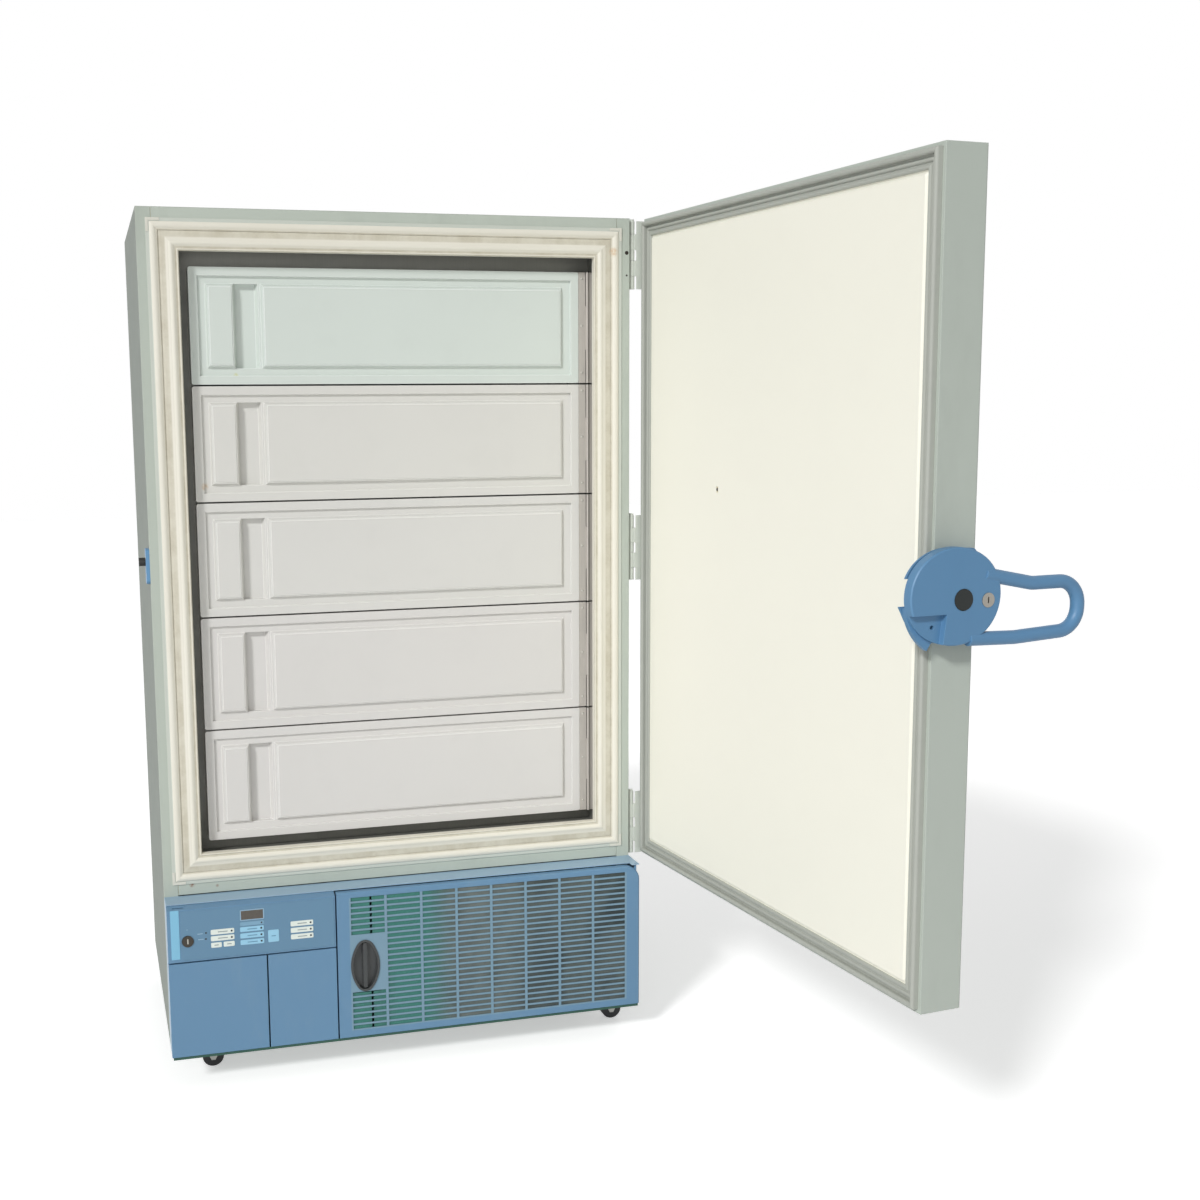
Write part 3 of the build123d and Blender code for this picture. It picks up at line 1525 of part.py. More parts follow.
with BuildPart() as condenser_fan:
    with BuildSketch(front(hub_front)):
        with Locations((fan_x, fan_z)):
            Circle(fan_hub_radius)
    extrude(amount=-fan_hub_length)
    for blade in range(fan_blades):
        spin = Location((fan_x, fan_z, -fan_hub_length / 2), (0, 0, 360 * blade / fan_blades))
        outwards = front(hub_front).location * spin * Location((0, 0, 0), (0, 90, 0))
        root = Location((0, 0, 0.8 * fan_hub_radius), (0, 0, fan_pitch_angle))
        chord = fan_blade_width / 2
        with BuildSketch(Plane(outwards * root)):
            with BuildLine():
                ThreePointArc((0, -chord), (fan_blade_camber, 0), (0, chord))
                Line((0, chord), (fan_blade_thickness, chord))
                ThreePointArc(
                    (fan_blade_thickness, chord),
                    (fan_blade_camber + fan_blade_thickness, 0),
                    (fan_blade_thickness, -chord),
                )
                Line((fan_blade_thickness, -chord), (0, -chord))
            make_face()
        extrude(amount=fan_radius - 0.8 * fan_hub_radius)
    with BuildSketch(front(hub_front)):
        with Locations((fan_x, fan_z)):
            Circle(motor_shaft_radius + running_gap)
    extrude(amount=-fan_hub_length, mode=Mode.SUBTRACT)
condenser_fan.part.label = "condenser_fan"
export_step(condenser_fan.part, "parts/condenser_fan.step")

# Rear of the machine compartment: a louvred cover and the power inlet
inlet_x = inlet_inset - half_width
with BuildPart() as rear_vent_cover:
    with BuildSketch(front(cabinet_depth - sheet)):
        span(
            -deck_half + rear_cover_gap,
            deck_half - rear_cover_gap,
            pan_bottom,
            upper_bottom - rear_cover_gap,
        )
        with Locations((inlet_x, inlet_z)):
            Rectangle(inlet_width, inlet_height, mode=Mode.SUBTRACT)
    extrude(amount=-sheet)
    with BuildSketch(front(cabinet_depth - sheet)):
        for column in range(louvre_columns):
            for row in range(louvre_rows):
                louvre_x = (column - (louvre_columns - 1) / 2) * louvre_pitch_x
                louvre_z = fan_z + (row - (louvre_rows - 1) / 2) * louvre_pitch_z
                with Locations((louvre_x + louvre_shift, louvre_z)):
                    Rectangle(louvre_width, louvre_height)
    extrude(amount=-sheet, mode=Mode.SUBTRACT)
rear_vent_cover.part.label = "rear_vent_cover"
export_step(rear_vent_cover.part, "parts/rear_vent_cover.step")

with BuildPart() as power_inlet:
    with BuildSketch(front(cabinet_depth)):
        with Locations((inlet_x, inlet_z)):
            Rectangle(inlet_width + 2 * inlet_wall, inlet_height + 2 * inlet_wall)
    extrude(amount=-inlet_flange)
    with BuildSketch(front(cabinet_depth - inlet_body)):
        with Locations((inlet_x, inlet_z)):
            Rectangle(inlet_width, inlet_height)
    extrude(amount=-inlet_body)
    with BuildSketch(front(cabinet_depth + inlet_flange - inlet_recess)):
        with Locations((inlet_x, inlet_z)):
            Rectangle(inlet_width - 2 * inlet_wall, inlet_height - 2 * inlet_wall)
    extrude(amount=-inlet_recess, mode=Mode.SUBTRACT)
    with BuildSketch(front(cabinet_depth + inlet_flange - inlet_recess)):
        with GridLocations(inlet_pin_pitch, 0, 3, 1):
            with Locations((inlet_x, inlet_z)):
                Rectangle(inlet_pin / 2, inlet_pin)
    extrude(amount=-inlet_recess + inlet_flange)
power_inlet.part.label = "power_inlet"
export_step(power_inlet.part, "parts/power_inlet.step")

# Casters: plate and kingpin on the pan, a fork that swivels and a wheel that trails it
plate_bottom = pan_bottom - caster_plate_thickness
bearing_bottom = plate_bottom - caster_bearing_height
fork_crown = bearing_bottom - fork_gap
caster_spread = half_width - caster_side_inset
caster_rear_y = cabinet_depth - caster_rear_inset
caster_sites = (
    (-caster_spread, caster_front_y),
    (caster_spread, caster_front_y),
    (-caster_spread, caster_rear_y),
    (caster_spread, caster_rear_y),
)
with BuildPart() as caster_plates:
    for site in caster_sites:
        with BuildSketch(level(pan_bottom)):
            with Locations(site):
                Rectangle(caster_plate_length, caster_plate_width)
        extrude(amount=-caster_plate_thickness)
        with BuildSketch(level(plate_bottom)):
            with Locations(site):
                Circle(caster_bearing_radius)
        extrude(amount=-caster_bearing_height)
        with BuildSketch(level(bearing_bottom)):
            with Locations(site):
                Circle(kingpin_radius)
        extrude(amount=-fork_top - 2 * fork_gap)
        with BuildSketch(level(fork_crown - fork_top - fork_gap)):
            with Locations(site):
                RegularPolygon(kingpin_nut_radius, 6)
        extrude(amount=-kingpin_nut_height)
caster_plates.part.label = "caster_plates"
export_step(caster_plates.part, "parts/caster_plates.step")

fork_half = fork_inside / 2 + fork_leg
wheel_width = fork_inside - 2 * wheel_side_gap
for number, (site_x, site_y) in enumerate(caster_sites, start=1):
    axle_x = site_x + wheel_trail
    with BuildPart() as caster_fork:
        with BuildSketch(front(site_y - fork_half)):
            with BuildLine():
                Polyline(
                    (site_x - caster_bearing_radius, fork_crown),
                    (site_x + caster_bearing_radius, fork_crown),
                    (axle_x + fork_boss, wheel_radius),
                    (axle_x + fork_boss / 2, wheel_radius - fork_boss),
                    (axle_x - fork_boss / 2, wheel_radius - fork_boss),
                    (axle_x - fork_boss, wheel_radius),
                    (site_x - caster_bearing_radius, fork_crown - fork_top),
                    close=True,
                )
            make_face()
        extrude(amount=-2 * fork_half)
        with BuildSketch(front(site_y - fork_inside / 2)):
            span(
                site_x - caster_bearing_radius - overrun,
                axle_x + wheel_radius,
                0,
                fork_crown - fork_top,
            )
        extrude(amount=-fork_inside, mode=Mode.SUBTRACT)
        with BuildSketch(level(fork_crown)):
            with Locations((site_x, site_y)):
                Circle(kingpin_radius + running_gap)
        extrude(amount=-fork_top, mode=Mode.SUBTRACT)
        with BuildSketch(front(site_y - fork_half)):
            with Locations((axle_x, wheel_radius)):
                Circle(axle_radius)
        extrude(amount=-2 * fork_half)
    caster_fork.part.label = f"caster_fork_{number}"
    export_step(caster_fork.part, f"parts/caster_fork_{number}.step")

    with BuildPart() as caster_wheel:
        with BuildSketch(front(site_y - wheel_width / 2)):
            with Locations((axle_x, wheel_radius)):
                Circle(wheel_radius)
                Circle(axle_radius + running_gap, mode=Mode.SUBTRACT)
        extrude(amount=-wheel_width)
    caster_wheel.part.label = f"caster_wheel_{number}"
    export_step(caster_wheel.part, f"parts/caster_wheel_{number}.step")
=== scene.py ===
# Finishes, small fittings, light and floor of an upright low temperature freezer, laid round its
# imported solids.
import math

import bmesh
import bpy
from mathutils import Matrix, Vector


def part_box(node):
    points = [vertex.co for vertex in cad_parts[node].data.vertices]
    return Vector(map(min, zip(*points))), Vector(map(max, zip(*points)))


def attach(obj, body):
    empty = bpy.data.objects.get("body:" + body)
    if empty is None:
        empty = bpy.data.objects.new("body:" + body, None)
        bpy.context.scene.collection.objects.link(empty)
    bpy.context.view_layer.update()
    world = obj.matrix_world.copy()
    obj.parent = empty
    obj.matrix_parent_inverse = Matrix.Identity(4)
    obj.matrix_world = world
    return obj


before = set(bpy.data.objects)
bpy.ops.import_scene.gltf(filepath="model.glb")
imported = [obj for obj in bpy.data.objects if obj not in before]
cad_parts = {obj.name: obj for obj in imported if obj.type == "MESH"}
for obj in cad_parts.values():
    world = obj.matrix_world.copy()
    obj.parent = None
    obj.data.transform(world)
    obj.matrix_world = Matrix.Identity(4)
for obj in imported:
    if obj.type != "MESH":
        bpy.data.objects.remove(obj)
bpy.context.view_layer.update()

MM = 0.001

# The cabinet's own terms, in millimetres: x right from its middle, y to the rear from its front
# plane, z up from the floor.
wrap_low, wrap_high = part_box("cabinet_wrap")
HOME = Vector(((wrap_low.x + wrap_high.x) / 2, wrap_low.y, 0))
FASCIA_Y = (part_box("control_panel")[0].y - HOME.y) / MM


def at(x, y, z):
    """A point of the cabinet's terms in the frame's metres."""
    return HOME + Vector((x, y, z)) * MM


# Camera: place, aim and lens as fitted to the photograph
CAMERA_SPOT = (-703.4, -3479.1, 1538.7)
CAMERA_YAW = math.radians(15.549)
CAMERA_PITCH = math.radians(8.183)
CAMERA_ROLL = math.radians(-0.535)
PHOTO_SIDE = 1200
FOCAL_PIXELS = 1530.4
CENTRE_PIXEL = (510.1, 629.6)
SENSOR = 36
CLIP_END = 100


def make_camera():
    forward = Vector(
        (
            math.sin(CAMERA_YAW) * math.cos(CAMERA_PITCH),
            math.cos(CAMERA_YAW) * math.cos(CAMERA_PITCH),
            -math.sin(CAMERA_PITCH),
        )
    )
    right = Vector((math.cos(CAMERA_YAW), -math.sin(CAMERA_YAW), 0))
    up = right.cross(forward)
    rolled_right = math.cos(CAMERA_ROLL) * right + math.sin(CAMERA_ROLL) * up
    rolled_up = math.cos(CAMERA_ROLL) * up - math.sin(CAMERA_ROLL) * right
    turn = Matrix((rolled_right, rolled_up, -forward)).transposed().to_4x4()
    data = bpy.data.cameras.new("camera")
    data.sensor_fit = "HORIZONTAL"
    data.sensor_width = SENSOR
    data.lens = FOCAL_PIXELS / PHOTO_SIDE * SENSOR
    data.shift_x = (PHOTO_SIDE / 2 - CENTRE_PIXEL[0]) / PHOTO_SIDE
    data.shift_y = (CENTRE_PIXEL[1] - PHOTO_SIDE / 2) / PHOTO_SIDE
    data.clip_end = CLIP_END
    camera = bpy.data.objects.new("camera", data)
    camera.matrix_world = Matrix.Translation(at(*CAMERA_SPOT)) @ turn
    bpy.context.scene.collection.objects.link(camera)
    bpy.context.scene.camera = camera


make_camera()


def linear(red, green, blue):
    """A colour as a screen shows it, 0 to 255, as the linear values that shaders take."""
    channels = []
    for value in (red, green, blue):
        share = value / 255
        channels.append(share / 12.92 if share <= 0.04045 else ((share + 0.055) / 1.055) ** 2.4)
    return (*channels, 1)


def scaled(colour, factor):
    return tuple(min(1, channel * factor) for channel in colour[:3]) + (1,)


# How far an eased normal turns from the true one, as a cosine, where the lightened edge (wear, and
# painted highlight) starts and is full
EDGE_START = 0.995
EDGE_FULL = 0.86
EDGE_SAMPLES = 6
BUMP_EDGE_SAMPLES = 4


class Maker:
    """One procedural material: its shader, and short ways to add the nodes that feed it."""

    def __init__(self, name, rough=0.5, metal=0.0, **sockets):
        self.material = bpy.data.materials.new(name)
        self.material.use_nodes = True
        self.tree = self.material.node_tree
        self.tree.nodes.clear()
        self.output = self.tree.nodes.new("ShaderNodeOutputMaterial")
        self.shader = self.tree.nodes.new("ShaderNodeBsdfPrincipled")
        self.tree.links.new(self.shader.outputs["BSDF"], self.output.inputs["Surface"])
        self.shader.inputs["Roughness"].default_value = rough
        self.shader.inputs["Metallic"].default_value = metal
        for socket, value in sockets.items():
            self.shader.inputs[socket.replace("_", " ")].default_value = value
        self.place = self.tree.nodes.new("ShaderNodeTexCoord").outputs["Object"]

    def link(self, source, target):
        self.tree.links.new(source, target)

    def stretched(self, scale):
        node = self.tree.nodes.new("ShaderNodeMapping")
        node.inputs["Scale"].default_value = scale
        self.link(self.place, node.inputs["Vector"])
        return node.outputs["Vector"]

    def noise(self, size, detail=3.0, rough=0.55, stretch=None):
        """Soft noise whose cells are about size metres across."""
        node = self.tree.nodes.new("ShaderNodeTexNoise")
        node.inputs["Scale"].default_value = 1 / size
        node.inputs["Detail"].default_value = detail
        node.inputs["Roughness"].default_value = rough
        self.link(self.stretched(stretch) if stretch else self.place, node.inputs["Vector"])
        return node.outputs["Fac"]

    def window(self, source, low, high):
        """0 at low and 1 at high, smoothly."""
        node = self.tree.nodes.new("ShaderNodeMapRange")
        node.interpolation_type = "SMOOTHSTEP"
        node.inputs["From Min"].default_value = low
        node.inputs["From Max"].default_value = high
        self.link(source, node.inputs["Value"])
        return node.outputs["Result"]

    def patches(self, size, low, high, detail=3.0, rough=0.55, stretch=None):
        """Soft noise drawn out into patches: 0 where it is below low and 1 where above high."""
        return self.window(self.noise(size, detail, rough, stretch), low, high)

    def axis(self, letter):
        node = self.tree.nodes.new("ShaderNodeSeparateXYZ")
        self.link(self.place, node.inputs["Vector"])
        return node.outputs[letter]

    def near(self, point, inner, outer):
        """1 within inner millimetres of a point of the cabinet's terms, 0 beyond outer."""
        node = self.tree.nodes.new("ShaderNodeVectorMath")
        node.operation = "DISTANCE"
        node.inputs[1].default_value = at(*point)
        self.link(self.place, node.inputs[0])
        return self.window(node.outputs["Value"], outer * MM, inner * MM)

    def between(self, letter, low, high, soft):
        """1 between two places along an axis of the cabinet's terms, fading over soft
        millimetres."""
        place = self.axis(letter)
        start = HOME["XYZ".index(letter)]
        rise = self.window(place, start + (low - soft) * MM, start + low * MM)
        fall = self.window(place, start + (high + soft) * MM, start + high * MM)
        return self.times(rise, fall)

    def times(self, first, second):
        node = self.tree.nodes.new("ShaderNodeMath")
        node.operation = "MULTIPLY"
        for socket, value in zip(node.inputs, (first, second)):
            if isinstance(value, (int, float)):
                socket.default_value = value
            else:
                self.link(value, socket)
        return node.outputs["Value"]

    def mix(self, share, under, over):
        """Under where share is 0, over where it is 1; either may be a colour or a socket."""
        node = self.tree.nodes.new("ShaderNodeMix")
        node.data_type = "RGBA"
        self.link(share, node.inputs["Factor"])
        colours = [socket for socket in node.inputs if socket.type == "RGBA"]
        for socket, value in zip(colours, (under, over)):
            if isinstance(value, tuple):
                socket.default_value = value
            else:
                self.link(value, socket)
        return [socket for socket in node.outputs if socket.type == "RGBA"][0]

    def drifting(self, colour, size, drift):
        """A colour that goes a share darker and lighter across cells about size metres wide."""
        darker, lighter = scaled(colour, 1 - drift), scaled(colour, 1 + drift)
        return self.mix(self.noise(size, detail=2), darker, lighter)

    def colour(self, source):
        self.link(source, self.shader.inputs["Base Color"])

    def roughness(self, source, low, high):
        node = self.tree.nodes.new("ShaderNodeMapRange")
        node.inputs["To Min"].default_value = low
        node.inputs["To Max"].default_value = high
        self.link(source, node.inputs["Value"])
        self.link(node.outputs["Result"], self.shader.inputs["Roughness"])

    def edges(self, radius):
        """1 along edges of the piece, within about a radius of them in metres."""
        eased = self.tree.nodes.new("ShaderNodeBevel")
        eased.samples = EDGE_SAMPLES
        eased.inputs["Radius"].default_value = radius
        true_normal = self.tree.nodes.new("ShaderNodeNewGeometry").outputs["Normal"]
        node = self.tree.nodes.new("ShaderNodeVectorMath")
        node.operation = "DOT_PRODUCT"
        self.link(eased.outputs["Normal"], node.inputs[0])
        self.link(true_normal, node.inputs[1])
        return self.window(node.outputs["Value"], EDGE_START, EDGE_FULL)

    def bump(self, source, height, eased=0.0):
        """Relief from a source, over edges that look eased by a radius in metres."""
        node = self.tree.nodes.new("ShaderNodeBump")
        node.inputs["Distance"].default_value = height
        self.link(source, node.inputs["Height"])
        if eased:
            edge = self.tree.nodes.new("ShaderNodeBevel")
            edge.samples = BUMP_EDGE_SAMPLES
            edge.inputs["Radius"].default_value = eased
            self.link(edge.outputs["Normal"], node.inputs["Normal"])
        self.link(node.outputs["Normal"], self.shader.inputs["Normal"])


# Sizes of the patterns that the finishes share, in metres
EDGE_RADIUS = 0.0014
# Width of the lightened edges: wear, and painted highlight
EDGE_WEAR_AND_HIGHLIGHT_RADIUS = 0.0022
DRIFT_SIZE = 0.5
MOULDED_DRIFT_SIZE = 0.35
MOULDED_GRAIN_SIZE = 0.0016
SMEAR_SIZE = 0.14
SMEAR_STRETCH = (1, 1, 0.35)
PEEL_SIZE = 0.0022
PEEL_HEIGHT = 0.00006
STAIN_SIZE = 0.006
ROLLED_STRETCH = (1, 1, 0.04)
ROLLED_SIZE = 0.0025
ROLLED_HEIGHT = 0.00003


def stained(make, tone, stains):
    """Lays stains over a tone: each has a point, its inner and outer radius in millimetres, a
    share and a colour."""
    for point, inner, outer, share, colour in stains:
        ragged = make.patches(STAIN_SIZE, low=0.3, high=0.6, detail=5, rough=0.7)
        place = make.times(make.times(make.near(point, inner, outer), ragged), share)
        tone = make.mix(place, tone, colour)
    return tone


def enamel(
    name, colour, rough=0.38, drift=0.05, dirt=None, dirt_share=0.25, stains=(), edge_wear_and_highlight=0.3
):
    """Sprayed enamel: slow drift in tone, rubbed patches, fine orange peel, a little dirt, and
    edges lightened, partly wear and partly painted highlight.
    """
    make = Maker(name, rough=rough, Specular_IOR_Level=0.45)
    tone = make.drifting(colour, DRIFT_SIZE, drift)
    smear = make.patches(SMEAR_SIZE, low=0.5, high=0.8, detail=5, rough=0.65, stretch=SMEAR_STRETCH)
    soil = dirt or scaled(colour, 0.72)
    tone = make.mix(make.times(smear, dirt_share), tone, soil)
    # Edges lightened: partly wear, partly painted highlight
    tone = make.mix(make.times(make.edges(EDGE_WEAR_AND_HIGHLIGHT_RADIUS), edge_wear_and_highlight), tone, scaled(colour, 1.6))
    make.colour(stained(make, tone, stains))
    make.roughness(make.noise(0.06, detail=4), low=rough - 0.06, high=rough + 0.12)
    make.bump(make.noise(PEEL_SIZE, detail=2), PEEL_HEIGHT, EDGE_RADIUS)
    return make


def moulded(
    name, colour, rough=0.5, drift=0.03, haze=0.1, grain=0.00004, stains=(), edge_wear_and_highlight=0.0
):
    """Moulded or formed plastic: near-even tone, faint haze and a fine grain, with edges lightened
    as painted highlight where asked.
    """
    make = Maker(name, rough=rough)
    tone = make.drifting(colour, MOULDED_DRIFT_SIZE, drift)
    cloud = make.patches(0.09, low=0.5, high=0.78, detail=4, rough=0.6)
    tone = make.mix(make.times(cloud, haze), tone, scaled(colour, 0.84))
    if edge_wear_and_highlight:
        # Painted highlight: edges lightened
        tone = make.mix(make.times(make.edges(EDGE_WEAR_AND_HIGHLIGHT_RADIUS), edge_wear_and_highlight), tone, scaled(colour, 1.5))
    make.colour(stained(make, tone, stains))
    make.roughness(make.noise(0.05, detail=3), low=rough - 0.06, high=rough + 0.1)
    make.bump(make.noise(MOULDED_GRAIN_SIZE, detail=3), grain, EDGE_RADIUS)
    return make


def rolled(name, colour, rough=0.4, metal=0.85):
    """Rolled sheet metal: fine lines along one way and dull patches."""
    make = Maker(name, rough=rough, metal=metal)
    lines = make.noise(ROLLED_SIZE, detail=3, rough=0.6, stretch=ROLLED_STRETCH)
    tone = make.mix(lines, scaled(colour, 0.88), scaled(colour, 1.1))
    dull = make.patches(0.08, low=0.5, high=0.75, detail=4)
    tone = make.mix(make.times(dull, 0.35), tone, scaled(colour, 0.75))
    make.colour(tone)
    make.roughness(make.noise(0.03, detail=4), low=rough - 0.08, high=rough + 0.18)
    make.bump(lines, ROLLED_HEIGHT)
    return make


GREY_GREEN = linear(186, 194, 184)
LINER = linear(246, 244, 231)
BLUE = linear(99, 138, 170)
HANDLE_BLUE = linear(90, 135, 173)
RUST = linear(132, 78, 46)
TAN = linear(196, 160, 112)

# Cabinet enamel, with painted shade: a little greyer behind the front and darkest on the left side
cabinet = Maker("cabinet_enamel", rough=0.55, Specular_IOR_Level=0.15)
cabinet_tone = cabinet.drifting(GREY_GREEN, DRIFT_SIZE, 0.04)
behind_front = cabinet.window(cabinet.axis("Y"), HOME.y + 2 * MM, HOME.y + 30 * MM)
# Painted shade: sides and top a little greyer than the front
cabinet_tone = cabinet.mix(cabinet.times(behind_front, 0.3), cabinet_tone, linear(156, 163, 156))
# Painted shade: the left side darkest
left_side_shade = cabinet.times(behind_front, cabinet.between("X", low=-575, high=-564.6, soft=0.3))
cabinet_tone = cabinet.mix(cabinet.times(left_side_shade, 0.8), cabinet_tone, linear(128, 134, 128))
cabinet_smear = cabinet.patches(0.16, low=0.48, high=0.8, detail=5, rough=0.65, stretch=(1, 1, 0.3))
cabinet_tone = cabinet.mix(cabinet.times(cabinet_smear, 0.3), cabinet_tone, linear(142, 148, 138))
cabinet.colour(cabinet_tone)
cabinet.roughness(cabinet.noise(0.06, detail=4), low=0.48, high=0.68)
cabinet.bump(cabinet.noise(PEEL_SIZE, detail=2), PEEL_HEIGHT, EDGE_RADIUS)

rail_paint = enamel(
    "rail_enamel", GREY_GREEN, dirt=linear(148, 155, 146),
    stains=(((-501, 0, 463), 2, 9, 0.9, RUST), ((-444, 0, 455), 1, 5, 0.8, RUST)),
)
door_paint = enamel("door_enamel", linear(184, 192, 183), dirt=linear(156, 163, 154))
hinge_paint = enamel("hinge_enamel", linear(212, 217, 208), drift=0.04, dirt=linear(160, 162, 152))

# Blue enamel of the base, greyed in patches where it is rubbed
blue_paint = enamel("blue_enamel", BLUE, rough=0.34, dirt=linear(128, 152, 168), dirt_share=0.55)
ledge_paint = enamel(
    "ledge_enamel", linear(150, 178, 200), rough=0.34, dirt=linear(140, 162, 178),
    stains=(((-331, -78, 438), 1, 5, 0.7, linear(190, 110, 110)),),
)
strike_paint = enamel("strike_enamel", linear(98, 146, 186), rough=0.36)
handle_paint = enamel("handle_enamel", HANDLE_BLUE, rough=0.4, drift=0.04, dirt_share=0.12)

# Grille door: the same blue, with dust on the bars between the slots
GRILLE_EDGE_RADIUS = 0.001
grille = Maker("grille_enamel", rough=0.36, Specular_IOR_Level=0.45)
grille_tone = grille.drifting(BLUE, DRIFT_SIZE, 0.04)
slotted = grille.times(
    grille.between("X", low=-150, high=530, soft=3),
    grille.between("Z", low=100, high=419, soft=3),
)
grille_tone = grille.mix(grille.times(slotted, 0.5), grille_tone, linear(134, 160, 168))
grille_smear = grille.patches(SMEAR_SIZE, low=0.5, high=0.8, detail=5, rough=0.65)
grille_tone = grille.mix(grille.times(grille_smear, 0.4), grille_tone, linear(128, 152, 168))
grille.colour(grille_tone)
grille.roughness(grille.noise(0.06, detail=4), low=0.3, high=0.48)
grille.bump(grille.noise(PEEL_SIZE, detail=2), PEEL_HEIGHT, GRILLE_EDGE_RADIUS)

# Breaker strip: pale crests, darker and yellower down in its grooves, partly painted shade and
# partly yellowed dirt, with patches of dirt there
breaker = Maker("breaker_plastic", rough=0.42)
breaker_tone = breaker.mix(
    breaker.noise(0.3, detail=2), linear(232, 229, 217), linear(226, 222, 208)
)
groove_shade_and_dirt = breaker.between("Y", low=-1.0, high=0.4, soft=0.8)
patch = breaker.patches(0.05, low=0.3, high=0.75, detail=5, rough=0.7)
# Grooves darkened evenly: partly painted shade, partly yellowed dirt
breaker_tone = breaker.mix(breaker.times(groove_shade_and_dirt, 0.5), breaker_tone, linear(196, 190, 170))
soiled = breaker.times(breaker.times(groove_shade_and_dirt, patch), 0.5)
breaker_tone = breaker.mix(soiled, breaker_tone, linear(172, 163, 140))
haze = breaker.patches(0.11, low=0.5, high=0.8, detail=4, rough=0.6)
breaker_tone = breaker.mix(breaker.times(haze, 0.18), breaker_tone, linear(205, 200, 180))
inside = breaker.times(
    breaker.between("X", low=-536, high=536, soft=2),
    breaker.between("Z", low=474, high=1948, soft=2),
)
outer_tone = breaker.mix(
    breaker.noise(0.2, detail=3), linear(204, 209, 200), linear(192, 198, 188)
)
breaker_tone = breaker.mix(inside, outer_tone, breaker_tone)
breaker_tone = stained(breaker, breaker_tone, (((524, -3, 1902), 2, 14, 0.8, TAN),))
breaker.colour(breaker_tone)
breaker.roughness(breaker.noise(0.04, detail=3), low=0.36, high=0.55)
breaker.bump(breaker.noise(0.004, detail=3), height=0.00008, eased=EDGE_RADIUS)
corner_plastic = moulded("corner_plastic", linear(216, 215, 204), rough=0.45)

# Inner doors, each its own shade, two of them stained, with painted highlights lightening their
# edges
DOOR_SHADES = ((210, 218, 212), (215, 214, 209), (214, 213, 209), (214, 212, 209), (215, 213, 210))
DOOR_STAINS = {
    1: (((-357, 44, 1621), 1, 7, 0.6, linear(200, 200, 120)),),
    2: (((-434, 38, 1373), 3, 12, 0.75, TAN),),
}
# Their edges are lightened strongly: painted highlight
inner_door_plastics = [
    moulded(
        f"inner_door_plastic_{number}", linear(*shade), rough=0.4, haze=0.12, grain=0.00005,
        stains=DOOR_STAINS.get(number, ()), edge_wear_and_highlight=0.85,
    )
    for number, shade in enumerate(DOOR_SHADES, start=1)
]

liner_plastic = moulded("liner_plastic", LINER, rough=0.45, drift=0.012, haze=0.04, grain=0.00006)
gasket_rubber = moulded("gasket_rubber", linear(172, 175, 167), rough=0.55, drift=0.05, haze=0.3)
tank_metal = rolled("tank_metal", linear(132, 132, 126), rough=0.42, metal=0.4)
shelf_metal = rolled("shelf_metal", linear(150, 150, 146), rough=0.4)
hinge_metal = rolled("hinge_metal", linear(190, 185, 178), rough=0.45, metal=0.3)
dark_metal = rolled("dark_metal", linear(60, 60, 58), rough=0.4, metal=0.8)
lock_metal = rolled("lock_metal", linear(160, 156, 148), rough=0.28, metal=0.9)
switch_metal = rolled("switch_metal", linear(66, 62, 56), rough=0.35, metal=0.6)
galvanised = rolled("galvanised", linear(186, 189, 186), rough=0.5, metal=0.2)
zinc = rolled("zinc", linear(160, 160, 156), rough=0.38, metal=0.9)
base_green = enamel("base_green", linear(44, 82, 70), rough=0.5, dirt=linear(70, 72, 62))
teal = enamel("compressor_teal", linear(52, 128, 116), rough=0.4, dirt=linear(60, 90, 80))
shroud_black = enamel("shroud_black", linear(44, 46, 48), rough=0.5, dirt=linear(70, 70, 66))
latch_black = moulded("latch_black", linear(58, 61, 62), rough=0.34, haze=0.4)
black_plastic = moulded("black_plastic", linear(44, 46, 45), rough=0.36, haze=0.2)
cap_plastic = moulded("cap_plastic", linear(24, 29, 28), rough=0.7, haze=0.2)
fan_plastic = moulded("fan_plastic", linear(46, 48, 50), rough=0.5, haze=0.3)
wheel_rubber = moulded("wheel_rubber", linear(42, 42, 44), rough=0.6, haze=0.4)
foam = moulded("foam", linear(222, 208, 160), rough=0.85, haze=0.3, grain=0.0004)
overlay_film = moulded("overlay_film", linear(96, 134, 162), rough=0.36, haze=0.08)

# Fins: dusty aluminium, with soft bands of lint across them
FIN_PITCH = 0.003
FIN_STRETCH = (1, 1, 0.02)
FIN_RELIEF = 0.0002
fins = Maker("condenser_fins", rough=0.55, metal=0.4)
fin_lines = fins.noise(FIN_PITCH, detail=2, rough=0.5, stretch=FIN_STRETCH)
fin_tone = fins.mix(fin_lines, linear(104, 112, 110), linear(132, 140, 137))
lint = fins.patches(0.07, low=0.42, high=0.7, detail=4, rough=0.6)
fins.colour(fins.mix(fins.times(lint, 0.6), fin_tone, linear(70, 74, 72)))
fins.roughness(fins.noise(0.03, detail=3), low=0.45, high=0.7)
fins.bump(fin_lines, FIN_RELIEF)

